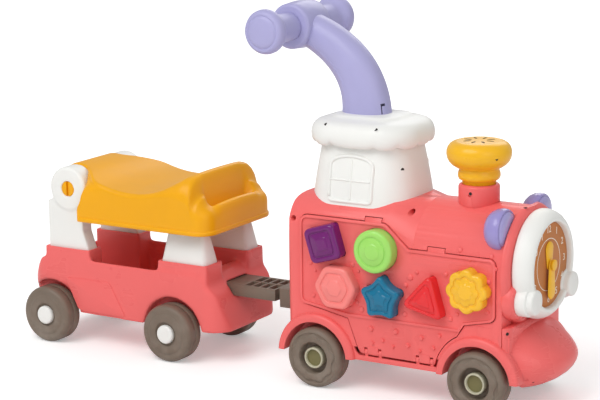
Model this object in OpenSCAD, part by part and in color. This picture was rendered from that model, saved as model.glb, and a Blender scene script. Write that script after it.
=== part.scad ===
// Ride-on train: an engine with a sorter door, a push handle and a clock face, pulling a seat trailer.
// +X is forwards, +Z is up, and the origin is on the floor under the middle of the whole train.

/* [Wheels and axles] */
// Diameter of every wheel
wheel_d = 74; // [66:1:80]
// Width of every wheel
wheel_w = 30; // [24:1:32]
// Width of the train across the outer wheel faces
track_w = 166; // [160:1:176]
// Diameter of the axles
axle_d = 8; // [6:0.5:10]
// Place of the engine's rear axle
engine_rear_axle_x = 70; // [66:1:74]
// Place of the engine's front axle
engine_front_axle_x = 288; // [284:1:292]
// Place of the trailer's rear axle
trailer_rear_axle_x = -343; // [-347:1:-338]
// Place of the trailer's front axle
trailer_front_axle_x = -149; // [-153:1:-145]
// Room between a wheel and its arch
arch_gap = 7; // [5:0.5:9]
// Diameter of the recess in an engine wheel
hub_recess_d = 39; // [32:1:44]
// Diameter of the trailer's hub caps
hub_cap_d = 24; // [20:1:28]

/* [Engine body] */
// Width of the engine body at its sill
engine_w = 144; // [140:1:148]
// Height of the sill, the bottom edge of both bodies
sill_z = 41; // [38:1:44]
// Diameter of the boiler
boiler_d = 140; // [134:1:144]
// Height of the boiler's axis
boiler_z = 165; // [160:1:168]
// Place of the engine's rear wall
engine_rear_x = 26; // [20:1:30]
// Place of the boiler's front end
boiler_front_x = 326; // [320:1:334]
// Place of the tip of the nose
nose_tip_x = 382; // [372:1:392]
// Wall of the moulded shells
shell_wall = 3; // [2.5:0.1:3.5]

/* [Sorter door] */
// Place of the door's rear edge
door_rear_x = 48; // [46:0.5:52]
// Place of the door's front edge
door_front_x = 310; // [304:1:314]
// Height of the door's top edge under the cab
door_top_z = 211; // [207:1:214]
// Height of the door's top edge under the boiler
door_shoulder_z = 184; // [180:1:188]
// Height of the door's lower edge above the wheel arches
door_low_z = 103; // [100:1:106]
// Height of the hinge line at the foot of the door
hinge_z = 52; // [49:1:54]
// How far a block stands out of the door
block_proud = 13; // [8:1:16]
// Length of a block
block_len = 26; // [22:1:30]
// Room around a block in its hole
block_gap = 0.4; // [0.3:0.05:0.8]

/* [Cab, chimney and handle] */
// Place of the cab's middle
cab_x = 110; // [104:1:114]
// Length of the cab at its base
cab_len = 144; // [138:1:150]
// Width of the cab at its base
cab_w = 122; // [116:1:126]
// Height of the neck under the roof
cab_neck_z = 300; // [296:1:304]
// Height of the top of the roof
roof_z = 329; // [324:1:334]
// Place of the horn and its chimney
horn_x = 253; // [246:1:260]
// Diameter of the chimney
chimney_d = 49; // [46:1:54]
// Height of the chimney's rim
chimney_z = 256; // [252:1:260]
// Diameter of the horn knob
horn_d = 77; // [70:1:84]
// Height of the top of the horn knob
horn_z = 307; // [300:1:312]
// How far the horn can be pressed
horn_travel = 4; // [3:0.5:5]
// Place of the handlebar's axis
bar_x = 10; // [6:1:14]
// Height of the handlebar's axis
bar_z = 430; // [424:1:436]
// Length of the handlebar over its end caps
bar_len = 180; // [170:1:190]
// Diameter of the handlebar's grips
grip_d = 35; // [30:1:38]
// Diameter of the handlebar's end caps
bar_cap_d = 53; // [46:1:58]

/* [Clock face and lamps] */
// Height of the clock's middle
clock_z = 168; // [166:1:172]
// Diameter of the dial
dial_d = 100; // [90:1:104]
// Outer diameter of the white ring round the dial
ring_d = 128; // [124:1:132]
// How far the ring stands out of the boiler
ring_len = 24; // [20:1:28]
// Diameter of the two buffers
buffer_d = 35; // [30:1:38]
// Distance between the buffers
buffer_pitch = 99; // [94:1:104]
// Diameter of the two headlamps
lamp_d = 50; // [44:1:52]

/* [Hitch] */
// Place of the hitch pin
hitch_x = 6; // [3:1:9]
// Diameter of the hitch pin
hitch_pin_d = 10; // [8:0.5:12]
// Width of the drawbar
drawbar_w = 50; // [44:1:54]
// Height of the drawbar's top
drawbar_top_z = 98; // [96:1:100]
// Thickness of the drawbar
drawbar_t = 15; // [12:1:17]

/* [Trailer and seat] */
// Width of the trailer body
trailer_w = 136; // [132:1:140]
// Place of the trailer's rear end
trailer_rear_x = -382; // [-390:1:-376]
// Place of the trailer's front end at the sill
trailer_front_x = -70; // [-76:1:-64]
// Height of the trailer's rim
rim_z = 114; // [110:1:118]
// Height of the four post sockets
socket_z = 128; // [124:1:132]
// Place of the seat's pivot
seat_pivot_x = -311; // [-315:1:-307]
// Height of the seat's pivot
seat_pivot_z = 206; // [200:1:210]
// Diameter of the eye discs that carry the seat
eye_d = 58; // [54:1:60]
// Diameter of the seat's pivot pins
seat_pin_d = 20; // [16:1:22]
// Width of the seat
seat_w = 156; // [150:1:164]
// Place of the seat's front edge
seat_front_x = -86; // [-90:1:-82]
// Height of the seat's skirt above the floor
skirt_z = 168; // [165:1:172]
// Wall of the seat
seat_wall = 4; // [3:0.5:5]

/* [Hidden] */
$fn = 64;
// Facets of the outlines that are rounded by an offset
soft_fn = 24;
// Overrun of every cut
over = 1;
// Radial clearance of a pin that turns in its hole
run_gap = 0.05;
// Clearance between pieces that are seated side by side
seat_gap = 0.2;
// Clearance between pieces that move past each other
move_gap = 0.4;

// Wheels
wheel_r = wheel_d / 2;
axle_z = wheel_r;
arch_r = wheel_r + arch_gap;
wheel_round = 7;
wheel_in_y = track_w / 2 - wheel_w;
well_gap = 3;
well_y = wheel_in_y - well_gap;
engine_axles = [engine_rear_axle_x, engine_front_axle_x];
trailer_axles = [trailer_rear_axle_x, trailer_front_axle_x];
hub_recess_depth = 12;
engine_cap_d = 26;
engine_cap_wall = 2.5;
cap_dome = 3;
axle_end_gap = 5;
bearing_t = 9;
bearing_w = 22;

// Engine body
boiler_r = boiler_d / 2;
engine_top_z = boiler_z + boiler_r;
cabin_round = 38;
blend_start_x = 165;
blend_end_x = 200;
slice_t = 0.2;
rear_lean = 8;
rear_bend_z = 108;
rear_round = 14;
corner_round = 16;
front_round = 8;
flange_proud = 4;
front_wall_x = boiler_front_x - front_round;
fender_w = 10;
fender_r = arch_r + fender_w;
fender_proud = 6;
fender_round = 5;
fender_in_y = wheel_in_y;
fender_y = engine_w / 2 + fender_proud;
nose_root_x = engine_front_axle_x;
nose_top_z = clock_z - ring_d / 2 - seat_gap;
nose_slope_x = 330;
nose_tip_z = 66;
nose_chin = 12;
nose_bluntness = 2.2;
nose_steps = 20;
nose_round = 14;
pan_t = 3;
pan_lift = 2;
pan_z = max(sill_z, axle_z + axle_d / 2) + pan_lift;
screw_boss_r = 6;
screw_hole_r = 3.5;
screw_head_r = 3.2;
screw_head_t = 3;
screw_r = 1.5;
screw_in = 12;
screw_len = 26;
// Places of the screws that hold the two shells together, as X and Z
screw_places = [[engine_rear_x + screw_boss_r * 2, door_top_z - screw_boss_r],
                [cab_x + cab_len / 2 + screw_boss_r, engine_top_z - screw_boss_r * 2],
                [front_wall_x - screw_boss_r, engine_top_z - screw_boss_r * 2],
                [front_wall_x + screw_boss_r, nose_top_z - screw_boss_r],
                [nose_tip_x - nose_round - nose_chin - screw_boss_r, sill_z + screw_boss_r * 2]];

// Sorter door
door_len = door_front_x - door_rear_x;
door_h = door_top_z - door_low_z;
door_gap = 1;
door_round = 9;
door_bead = 3;
door_bead_proud = 2;
foot_rear_x = 130;
foot_front_x = 236;
foot_top_rear_x = 114;
foot_top_front_x = 270;
foot_drop = 12;
foot_relief = 5;
fender_clear = 4;
step_start_x = 165;
step_end_x = 196;
tab_w = 22;
tab_h = 5;
tab_shares = [0.38, 0.7];
tab_places = [[door_rear_x + door_len * tab_shares[0], door_top_z],
              [door_rear_x + door_len * tab_shares[1], door_shoulder_z]];
knuckle_r = 4;
knuckle_w = 14;
hinge_pin_r = 1.6;
hinge_y = -(engine_w / 2 - knuckle_r);
hinge_shares = [0.17, 0.83];
hinge_places = [for (share = hinge_shares) foot_rear_x + (foot_front_x - foot_rear_x) * share];
ear_t = 4;
foot_z = hinge_z - knuckle_r / 2;

// Blocks
square_w = 42;
circle_d = 52;
hexagon_d = 57;
star_d = 61;
star_in_share = 0.6;
star_tip_count = 5;
triangle_d = 66;
triangle_turn = 77;
flower_d = 53;
petal_share = 0.07;
petal_steps = 8;
petals = 8;
block_round = 5;
block_bevel = 4;
block_tilt = 17;
block_top_share = 0.84;
// Places of the blocks on the door, as shares of its length and of its height above its lower edge
square_shares = [0.146, 0.722];
circle_shares = [0.41, 0.704];
hexagon_shares = [0.21, 0.241];
star_shares = [0.445, 0.19];
triangle_shares = [0.671, 0.241];
flower_shares = [0.879, 0.398];

// Bin behind the door
bin_wall = 3;
bin_lift = 4;
bin_floor_z = axle_z + arch_r + shell_wall + bin_lift;
bin_rear_x = door_rear_x + bin_wall * 2;
bin_front_x = door_front_x;
bin_front_y = -(engine_w / 2 - shell_wall * 3);
bin_back_y = -screw_boss_r;
bin_top_z = door_shoulder_z;
bin_legs = [foot_rear_x, foot_front_x - bin_wall];

// Builds an outline drawn in X and Z between two places along Y
module along_y(y0, y1) {
    translate([0, y1, 0]) rotate([90, 0, 0]) linear_extrude(height = y1 - y0) children();
}

// Builds an outline drawn in Y and Z between two places along X
module along_x(x0, x1) {
    translate([x0, 0, 0]) rotate([90, 0, 90]) linear_extrude(height = x1 - x0) children();
}

// Builds an outline drawn in X and Y between two heights
module along_z(z0, z1) {
    translate([0, 0, z0]) linear_extrude(height = z1 - z0) children();
}

// A round bar along Y
module bar_y(x, z, r, y0, y1) {
    translate([x, y1, z]) rotate([90, 0, 0]) cylinder(r = r, h = y1 - y0);
}

// A round bar along X
module bar_x(y, z, r, x0, x1) {
    translate([x0, y, z]) rotate([0, 90, 0]) cylinder(r = r, h = x1 - x0);
}

// Turns a profile of radius and height about an axis along Y, with its height towards the right-hand side
module turned_y(x, y, z) {
    translate([x, y, z]) rotate([90, 0, 0]) rotate_extrude() children();
}

// Turns a profile of radius and height about an axis along X, with its height forwards
module turned_x(x, y, z) {
    translate([x, y, z]) rotate([0, 90, 0]) rotate_extrude() children();
}

// Rounds the outer corners of an outline
module rounded(r) {
    offset(r = r, $fn = soft_fn) offset(delta = -r) children();
}

// The shape and its mirror image on the left-hand side
module both_sides() {
    children();
    mirror([0, 1, 0]) children();
}

// Profile of a disc with a rounded rim, as radius and height
module disc_profile(r, h, edge) {
    square([r - edge, h]);
    if (h > edge) square([r, h - edge]);
    intersection() {
        translate([r - edge, h - edge]) circle(r = edge);
        square([r, h]);
    }
}

// Cab and roof
cab_low_z = engine_top_z - cabin_round;
cab_foot_z = engine_top_z - cabin_round / 2;
cab_round_share = 0.375;
cab_taper = 13.5;
cab_wall = 3;
window_w = 60;
window_h = 56;
window_z = 229;
window_bead = 3;
window_proud = 1.5;
roof_over = 10;
roof_drip = 6;
roof_round = 14;
roof_ledge = 8;

// Handle
arm_base_x = 102;
arm_rise = 70;
arm_base_half = 31;
arm_top_half = 20;
arm_base_half_w = 23;
arm_top_half_w = 20;
arm_rings = 14;
arm_sides = 24;
hub_d = 56;
hub_len = 52;
hub_round = 7;
bar_cap_len = 18;
bar_cap_round = 6;
bar_flare = 6;

// Chimney and horn
chimney_wall = 4.5;
chimney_floor = 2;
chimney_round = 4;
chimney_hole_r = 2.2;
chimney_hole_depth = 3;
horn_stem_r = chimney_d / 2 - chimney_wall;
horn_stem_in = 12;
horn_neck = horn_travel + move_gap;
horn_collar_round = 4;
horn_cap_h = 34;
horn_cap_round = 15;
bellows_r = 14;
bellows_fold = 2;
bellows_folds = 3;

// Clock face
ring_r = ring_d / 2;
ring_round = 13;
dial_r = dial_d / 2;
dial_back = 14;
dial_t = 3;
dial_ledge = 4;
dial_front_x = boiler_front_x + dial_back + dial_t;
hand_t = 2.6;
hand_gap = 0.3;
clock_pin_r = 4;
clock_head_r = 6.5;
clock_head_t = 2;
hour_len = 22;
minute_len = 38;
hand_hub_r = 10;
hand_tip_r = 6;
buffer_z = 134.6;
buffer_len = 27;
buffer_round = 5;
buffer_rim = 4;

// Headlamps
lamp_x = 288;
lamp_len = 26;
lamp_round = 13;
lamp_lens_t = 3;
lamp_lens_rim = 3.5;
lamp_y = 48;
lamp_z = 215;

// Hitch
receiver_wall = 4;
hitch_swing = 20;
receiver_w = drawbar_w + receiver_wall * 3;
receiver_rear_x = hitch_x - hitch_pin_d * 1.5;
receiver_low_z = drawbar_top_z - drawbar_t - move_gap - receiver_wall;
receiver_top_z = drawbar_top_z + move_gap + receiver_wall;
hitch_head_r = hitch_pin_d / 2 + receiver_wall / 2;
hitch_head_t = 3;
drawbar_in = 40;
drawbar_rear_x = trailer_front_x - drawbar_in;
drawbar_front_x = hitch_x - (hitch_x - receiver_rear_x + move_gap + drawbar_w / 2 * sin(hitch_swing))
                            / cos(hitch_swing);
tongue_r = 16;
cell_cols = 4;
cell_rows = 2;
cell_wall = 3;
cell_depth = 10;

// Trailer body
trailer_r = 30;
trailer_round = 18;
fold_z = 80;
fold_bend_x = -250;
fold_foot_x = -229;
fold_depth = 1;
pin_slot_w = 3;
pin_slot_depth = 2;
trailer_wall = 4;
trailer_rear_bulge = 3;
trailer_rear_mid_z = 72;
trailer_rear_in = 24;
trailer_front_mid_z = 89;
trailer_front_mid_in = 13;
trailer_front_in = 36;
tub_floor_z = axle_z + axle_d / 2 + pan_lift + trailer_wall;
tub_in = 20;
tub_rear_x = trailer_rear_x + tub_in;
tub_front_x = drawbar_rear_x - trailer_wall;
socket_wall = 4;
socket_depth = 12;
post_base_z = socket_z - socket_depth;

// Posts
rear_post_back = 35;
rear_post_front = 21;
rear_post_w = 20;
rear_post_out_y = trailer_w / 2 - socket_wall;
rear_post_flare = 8;
rear_post_flare_z = 150;
eye_proud = 2;
eye_round = 3;
front_post_rear_x = -167;
front_post_front_x = -99;
front_post_w = 30;
front_post_in = 7;
front_post_set = 2;
front_post_out_y = trailer_w / 2 - socket_wall - front_post_set;

// Seat
seat_roll_r = 30;
seat_dip_x = -194;
seat_dip_z = 215;
seat_hump_x = -130;
seat_hump_z = 241;
seat_trough_x = -109;
seat_trough_z = 188;
seat_trough_w = 10;
seat_lip_x = -96;
seat_lip_z = 200;
seat_edge_z = 192;
seat_round = 4;
seat_corner = 22;
seat_steps = 12;
seat_eye_gap = 2;
seat_roll_w = (rear_post_out_y - rear_post_w - eye_proud - move_gap) * 2;
seat_wide_x = seat_pivot_x + rear_post_front + seat_eye_gap;
seat_rib_t = 5;
seat_rib_y = front_post_out_y - front_post_w / 2;

// Cross-section of the engine at the boiler, drawn in Y and Z
module boiler_section(inset, low) {
    translate([0, boiler_z]) circle(r = boiler_r - inset);
    polygon([[-(engine_w / 2 - inset), low], [engine_w / 2 - inset, low],
             [boiler_r - inset, boiler_z], [-(boiler_r - inset), boiler_z]]);
}

// Cross-section of the engine under the cab, with a flatter top, drawn in Y and Z
module cabin_section(inset, low) {
    round_y = boiler_r - cabin_round;
    round_z = engine_top_z - cabin_round;
    for (side = [-1, 1]) translate([side * round_y, round_z]) circle(r = cabin_round - inset);
    polygon([[-(engine_w / 2 - inset), low], [engine_w / 2 - inset, low],
             [boiler_r - inset, round_z], [round_y, engine_top_z - inset],
             [-round_y, engine_top_z - inset], [-(boiler_r - inset), round_z]]);
}

// Side outline of the engine: an upright rear wall that leans forwards above the hitch
module engine_side(inset) {
    low = sill_z - rear_round - over;
    top = engine_top_z + over - inset;
    front = boiler_front_x + rear_round;
    rounded(rear_round)
        polygon([[engine_rear_x + inset, low], [front, low], [front, top],
                 [engine_rear_x + rear_lean + inset, top], [engine_rear_x + inset, rear_bend_z]]);
}

// Plan outline of the engine, with rounded rear corners
module engine_plan(inset) {
    half = engine_w / 2 + over - inset;
    rounded(corner_round)
        translate([engine_rear_x + inset, -half])
            square([boiler_front_x + corner_round - engine_rear_x, half * 2]);
}

// The engine's boiler and cabin as one solid, drawn in by an inset
module engine_solid(inset, low) {
    intersection() {
        union() {
            along_x(engine_rear_x, blend_start_x) cabin_section(inset, low);
            hull() {
                along_x(blend_start_x, blend_start_x + slice_t) cabin_section(inset, low);
                along_x(blend_end_x - slice_t, blend_end_x) boiler_section(inset, low);
            }
            along_x(blend_end_x, front_wall_x - inset) boiler_section(inset, low);
        }
        along_y(-engine_w, engine_w) engine_side(inset);
        along_z(low - over, engine_top_z + over) engine_plan(inset);
    }
}

// A place on the nose's blunt plan outline, as X and Y
function nose_edge(a, inset) =
    [nose_root_x + (nose_tip_x - nose_root_x - inset) * pow(abs(cos(a)), 2 / nose_bluntness),
     (engine_w / 2 - inset) * sign(a) * pow(abs(sin(a)), 2 / nose_bluntness)];

// The sloping nose in front of the front wheels, drawn in by an inset
module nose_solid(inset, low) {
    intersection() {
        along_y(-engine_w, engine_w) rounded(nose_round)
            polygon([[nose_root_x - nose_round, low - nose_round],
                     [nose_tip_x - nose_chin - inset, low - nose_round],
                     [nose_tip_x - nose_chin - inset, sill_z],
                     [nose_tip_x - inset, nose_tip_z - inset],
                     [nose_slope_x - inset, nose_top_z - inset],
                     [nose_root_x - nose_round, nose_top_z - inset]]);
        along_z(low, nose_top_z)
            polygon([[nose_root_x - nose_round, -(engine_w / 2 - inset)],
                     for (i = [0:nose_steps]) nose_edge(i * 180 / nose_steps - 90, inset),
                     [nose_root_x - nose_round, engine_w / 2 - inset]]);
        translate([nose_root_x, -engine_w, low]) cube([engine_w, engine_w * 2, nose_top_z]);
    }
}

// The wheel wells on the right-hand side, grown by a margin
module wells(axles, margin) {
    for (x = axles) bar_y(x, axle_z, arch_r + margin, -track_w, -(well_y - margin));
}

// Outline of the sorter door, drawn in X and Z
module door_outline() {
    difference() {
        rounded(door_round)
            polygon([[door_rear_x, door_low_z], [foot_top_rear_x, door_low_z - foot_drop],
                     [foot_rear_x, foot_z], [foot_front_x, foot_z],
                     [foot_top_front_x, door_low_z], [door_front_x, door_low_z + door_round],
                     [door_front_x, door_shoulder_z], [step_end_x, door_shoulder_z],
                     [step_start_x, door_top_z], [door_rear_x, door_top_z]]);
        for (x = engine_axles) translate([x, axle_z]) circle(r = fender_r + fender_clear);
    }
}

// Outline of the door's upper panel, inside the raised bead, drawn in X and Z
module panel_outline() {
    low = door_low_z - foot_drop * 3 / 4;
    intersection() {
        door_outline();
        rounded(door_round)
            polygon([[door_rear_x, door_low_z], [foot_top_rear_x, low], [foot_top_front_x, low],
                     [door_front_x, door_low_z + door_round], [door_front_x, door_top_z],
                     [door_rear_x, door_top_z]]);
    }
}

// The two snap tabs on the door's top edge
module door_tabs(margin) {
    for (place = tab_places)
        translate([place[0] - tab_w / 2 - margin, place[1] - tab_h])
            square([tab_w + margin * 2, tab_h * 2 + margin]);
}

// Columns for the screws that join the two shells
module screw_columns(r, y0, y1) {
    for (place = screw_places) bar_y(place[0], place[1], r, y0, y1);
}

// Everything of the engine's outer form, both sides
module engine_outer() {
    engine_solid(0, sill_z);
    turned_x(front_wall_x, 0, boiler_z) disc_profile(boiler_r + flange_proud, front_round, front_round);
    nose_solid(0, sill_z);
    for (side = [-1, 1])
        bar_x(side * buffer_pitch / 2, buffer_z, buffer_d / 2 + buffer_rim, front_wall_x - front_round,
              boiler_front_x);
    both_sides() for (x = engine_axles)
        intersection() {
            turned_y(x, -fender_in_y, axle_z) disc_profile(fender_r, fender_y - fender_in_y, fender_round);
            translate([x - fender_r, -fender_y - over, sill_z])
                cube([fender_r * 2, fender_y, fender_r * 2]);
        }
}

// The hollow inside both shells
module engine_hollow() {
    difference() {
        union() {
            engine_solid(shell_wall, sill_z - over);
            nose_solid(shell_wall, sill_z - over);
        }
        both_sides() wells(engine_axles, shell_wall);
        screw_columns(screw_boss_r, -engine_w, engine_w);
    }
}

// One half of the engine's shell before its own cut-outs
module engine_half(side) {
    difference() {
        intersection() {
            engine_outer();
            translate([engine_rear_x - fender_r, side < 0 ? -engine_w : 0, 0])
                cube([nose_tip_x - engine_rear_x + fender_r * 2, engine_w, engine_top_z + over]);
        }
        engine_hollow();
        if (side < 0) wells(engine_axles, 0);
        if (side > 0) mirror([0, 1, 0]) wells(engine_axles, 0);
        for (x = engine_axles) bar_y(x, axle_z, axle_d / 2 + move_gap, -track_w, track_w);
        screw_columns(screw_r, -screw_in - over, screw_len - screw_in);
    }
}

module engine_shell_right() {
    color("#f0706e") {
        difference() {
            engine_half(-1);
            along_y(-engine_w, -screw_in * 2) {
                offset(delta = door_gap) door_outline();
                door_tabs(door_gap);
                intersection() {
                    difference() {
                        offset(delta = foot_relief) door_outline();
                        for (x = engine_axles) translate([x, axle_z]) circle(r = fender_r);
                    }
                    translate([door_rear_x, hinge_z - knuckle_r - door_gap])
                        square([door_len, (knuckle_r + door_gap) * 2]);
                }
            }
            screw_columns(screw_hole_r, -engine_w, -screw_in);
        }
        for (x = hinge_places, side = [-1, 1])
            translate([x + side * (knuckle_w + ear_t + move_gap * 2) / 2, 0, 0]) hinge_ear();
    }
}

// One ear of the door hinge, standing on the sill and drilled for the pin
module hinge_ear() {
    difference() {
        along_x(-ear_t / 2, ear_t / 2) {
            translate([hinge_y, hinge_z]) circle(r = knuckle_r);
            translate([shell_wall / 2 - engine_w / 2, sill_z])
                square([knuckle_r * 2 - shell_wall / 2, hinge_z - sill_z]);
        }
        bar_x(hinge_y, hinge_z, hinge_pin_r + run_gap, -ear_t, ear_t);
    }
}

module engine_shell_left() {
    color("#f0706e") engine_half(1);
}

module engine_base() {
    inset = shell_wall + seat_gap;
    color("#e0605f") difference() {
        union() {
            difference() {
                intersection() {
                    union() {
                        engine_solid(inset, sill_z);
                        nose_solid(inset, sill_z);
                    }
                    translate([engine_rear_x, -engine_w / 2, pan_z]) cube([nose_tip_x, engine_w, pan_t]);
                }
                both_sides() wells(engine_axles, shell_wall + seat_gap);
                screw_columns(screw_boss_r + seat_gap, -engine_w, engine_w);
                for (x = hinge_places, side = [-1, 1])
                    translate([x + side * (knuckle_w + ear_t + move_gap * 2) / 2 - ear_t / 2 - seat_gap,
                               -engine_w / 2, sill_z])
                        cube([ear_t + seat_gap * 2, knuckle_r * 2 + seat_gap, hinge_z - sill_z]);
            }
            both_sides() for (x = engine_axles) bearing(x, well_y - shell_wall - seat_gap, pan_z + pan_t);
        }
        for (x = engine_axles) bar_y(x, axle_z, axle_d / 2 + run_gap, -track_w, track_w);
    }
}

// A bearing block that hangs from a floor and holds one end of an axle, before it is bored
module bearing(x, outer_y, top_z) {
    bottom_z = axle_z - axle_d;
    translate([x - bearing_w / 2, -outer_y, bottom_z]) cube([bearing_w, bearing_t, top_z - bottom_z]);
}

module block_bin() {
    floor_top = bin_floor_z + bin_wall;
    color("#e86a68") {
        translate([bin_rear_x, bin_front_y, bin_floor_z])
            cube([bin_front_x - bin_rear_x, bin_back_y - bin_front_y, bin_wall]);
        translate([bin_rear_x, bin_back_y - bin_wall, floor_top])
            cube([bin_front_x - bin_rear_x, bin_wall, bin_top_z - floor_top]);
        for (x = [bin_rear_x, bin_front_x - bin_wall])
            translate([x, bin_front_y, floor_top])
                cube([bin_wall, bin_back_y - bin_front_y, bin_top_z - boiler_r / 2 - floor_top]);
        for (x = bin_legs)
            translate([x, bin_front_y, pan_z + pan_t])
                cube([bin_wall, bin_back_y - bin_front_y, bin_floor_z - pan_z - pan_t]);
    }
}

module engine_screws() {
    color("#3a3432") for (place = screw_places) {
        bar_y(place[0], place[1], screw_head_r, -screw_in - screw_head_t, -screw_in);
        bar_y(place[0], place[1], screw_r - run_gap, -screw_in, screw_len - screw_in * 3 / 2);
    }
}

module sorter_door() {
    color("#f0706e") difference() {
        union() {
            difference() {
                union() {
                    intersection() {
                        engine_solid(0, sill_z);
                        along_y(-engine_w, -screw_in * 2) {
                            door_outline();
                            door_tabs(0);
                        }
                    }
                    intersection() {
                        engine_solid(-door_bead_proud, sill_z);
                        along_y(-engine_w, -screw_in * 2) difference() {
                            panel_outline();
                            offset(delta = -door_bead) panel_outline();
                        }
                    }
                }
                engine_solid(shell_wall, sill_z - over);
                for (x = hinge_places, side = [-1, 1])
                    translate([x + side * (knuckle_w + ear_t + move_gap * 2) / 2 - ear_t / 2 - move_gap,
                               -engine_w, foot_z - over])
                        cube([ear_t + move_gap * 2, engine_w, knuckle_r * 2 + door_gap]);
            }
            for (x = hinge_places) {
                bar_x(hinge_y, hinge_z, knuckle_r, x - knuckle_w / 2, x + knuckle_w / 2);
                translate([x - knuckle_w / 2, hinge_y - knuckle_r, hinge_z])
                    cube([knuckle_w, knuckle_r, knuckle_r * 2]);
            }
        }
        for (x = hinge_places) bar_x(hinge_y, hinge_z, hinge_pin_r + run_gap, x - knuckle_w, x + knuckle_w);
        block_hole(square_shares) square_outline();
        block_hole(circle_shares) circle(d = circle_d);
        block_hole(hexagon_shares) hexagon_outline();
        block_hole(star_shares) star_outline();
        block_hole(triangle_shares) triangle_outline();
        block_hole(flower_shares) flower_outline();
    }
}

module door_pins() {
    pin_len = knuckle_w + ear_t * 2 + move_gap * 2;
    color("#b8babd") for (x = hinge_places)
        bar_x(hinge_y, hinge_z, hinge_pin_r, x - pin_len / 2, x + pin_len / 2);
}

// Outlines of the sorter blocks, each about its own middle
module square_outline() {
    rounded(block_round) rotate(block_tilt) square(square_w, center = true);
}

module hexagon_outline() {
    rounded(block_round) circle(d = hexagon_d, $fn = 6);
}

module star_outline() {
    offset(r = -block_round, $fn = soft_fn) offset(r = block_round * 2, $fn = soft_fn)
        offset(delta = -block_round)
        polygon([for (i = [0:star_tip_count * 2 - 1])
            let (a = 90 + i * 180 / star_tip_count, r = star_d / 2 * (i % 2 == 0 ? 1 : star_in_share))
            [r * cos(a), r * sin(a)]]);
}

module triangle_outline() {
    rounded(block_round) rotate(triangle_turn) circle(d = triangle_d, $fn = 3);
}

module flower_outline() {
    middle = flower_d / 2 * (1 - petal_share);
    polygon([for (i = [0:petals * petal_steps - 1])
        let (a = i * 360 / (petals * petal_steps),
             r = middle + flower_d / 2 * petal_share * cos(a * petals))
        [r * cos(a), r * sin(a)]]);
}

// Puts a shape whose axis is along Z at a block's place, with its height towards the right-hand side
module block_at(shares, y) {
    translate([door_rear_x + shares[0] * door_len, y, door_low_z + shares[1] * door_h])
        rotate([90, 0, 0]) children();
}

// A block's hole through the door, a little larger than the block
module block_hole(shares) {
    block_at(shares, -screw_in) linear_extrude(height = engine_w) offset(delta = block_gap) children();
}

// A block with a bevelled outer end
module block(shares) {
    straight = block_len - block_bevel;
    block_at(shares, block_len - block_proud - engine_w / 2) {
        linear_extrude(height = straight) children();
        translate([0, 0, straight - slice_t])
            linear_extrude(height = block_bevel + slice_t, scale = block_top_share)
                offset(delta = -slice_t) children();
    }
}

module block_square() { color("#6e1469") block(square_shares) square_outline(); }
module block_circle() { color("#a5e16e") block(circle_shares) circle(d = circle_d); }
module block_hexagon() { color("#f5827d") block(hexagon_shares) hexagon_outline(); }
module block_star() { color("#007396") block(star_shares) star_outline(); }
module block_triangle() { color("#e62d32") block(triangle_shares) triangle_outline(); }
module block_flower() { color("#f5be2d") block(flower_shares) flower_outline(); }

// The cab's tapering form, drawn in by an inset
module cab_form(inset) {
    hull() {
        cab_slice(cab_low_z, cab_len - inset * 2, cab_w - inset * 2);
        cab_slice(cab_neck_z - inset, cab_len - (cab_taper + inset) * 2, cab_w - (cab_taper + inset) * 2);
    }
}

// A thin slice of a plan with rounded corners, about the cab's middle
module cab_slice(z, len, w) {
    translate([cab_x, 0, z - slice_t]) linear_extrude(height = slice_t)
        rounded(w * cab_round_share) square([len, w], center = true);
}

// Arched outline of the window, drawn in X and Z
module window_outline(inset) {
    half = window_w / 2 - inset;
    translate([cab_x, window_z]) {
        translate([-half, inset]) square([half * 2, window_h - half * 2 / 3]);
        intersection() {
            translate([0, window_h - window_w * 2 / 3]) circle(r = window_w * 2 / 3 - inset);
            translate([-half, inset]) square([half * 2, window_h]);
        }
    }
}

module cab_body() {
    color("#f0f0ec") difference() {
        union() {
            cab_form(0);
            intersection() {
                cab_form(-window_proud);
                along_y(-cab_w, cab_w) intersection() {
                    difference() {
                        window_outline(0);
                        window_outline(window_bead);
                    }
                    translate([cab_x - cab_len, 0])
                        square([cab_len * 2, cab_neck_z - roof_drip - seat_gap]);
                }
            }
        }
        translate([0, 0, -cab_wall]) cab_form(cab_wall);
        engine_solid(-seat_gap, sill_z);
        translate([cab_x - cab_len, -cab_w, cab_low_z - over])
            cube([cab_len * 2, cab_w * 2, cab_foot_z - cab_low_z + over]);
    }
}

module cab_roof() {
    top_len = cab_len - cab_taper * 2;
    top_w = cab_w - cab_taper * 2;
    color("#f2f2ee") difference() {
        hull() {
            cab_slice(cab_neck_z - roof_drip, top_len + roof_over, top_w + roof_over);
            cab_slice(cab_neck_z + roof_drip / 2, top_len + roof_over * 2, top_w + roof_over * 2);
            cab_slice(roof_z - roof_round, top_len + roof_over * 2, top_w + roof_over * 2);
            cab_slice(roof_z - roof_round / 3, top_len + roof_over, top_w + roof_over);
            cab_slice(roof_z, top_len - roof_round, top_w - roof_round);
        }
        cab_form(-seat_gap);
        hull() {
            cab_slice(cab_neck_z - over, top_len - roof_ledge * 2, top_w - roof_ledge * 2);
            cab_slice(roof_z - cab_wall * 2, top_len - roof_round - roof_ledge,
                      top_w - roof_round - roof_ledge);
        }
    }
}

// Centre line of the handle's arm in X and Z, from the roof up and back to the handlebar
function arm_at(t) =
    let (bend = [arm_base_x, roof_z + arm_rise])
    (1 - t) * (1 - t) * [arm_base_x, roof_z] + 2 * t * (1 - t) * bend + t * t * [bar_x, bar_z];

// Direction across the arm at a place along it
function arm_across(t) =
    let (bend = [arm_base_x, roof_z + arm_rise],
         along = (1 - t) * (bend - [arm_base_x, roof_z]) + t * ([bar_x, bar_z] - bend))
    [along[1], -along[0]] / norm(along);

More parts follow.
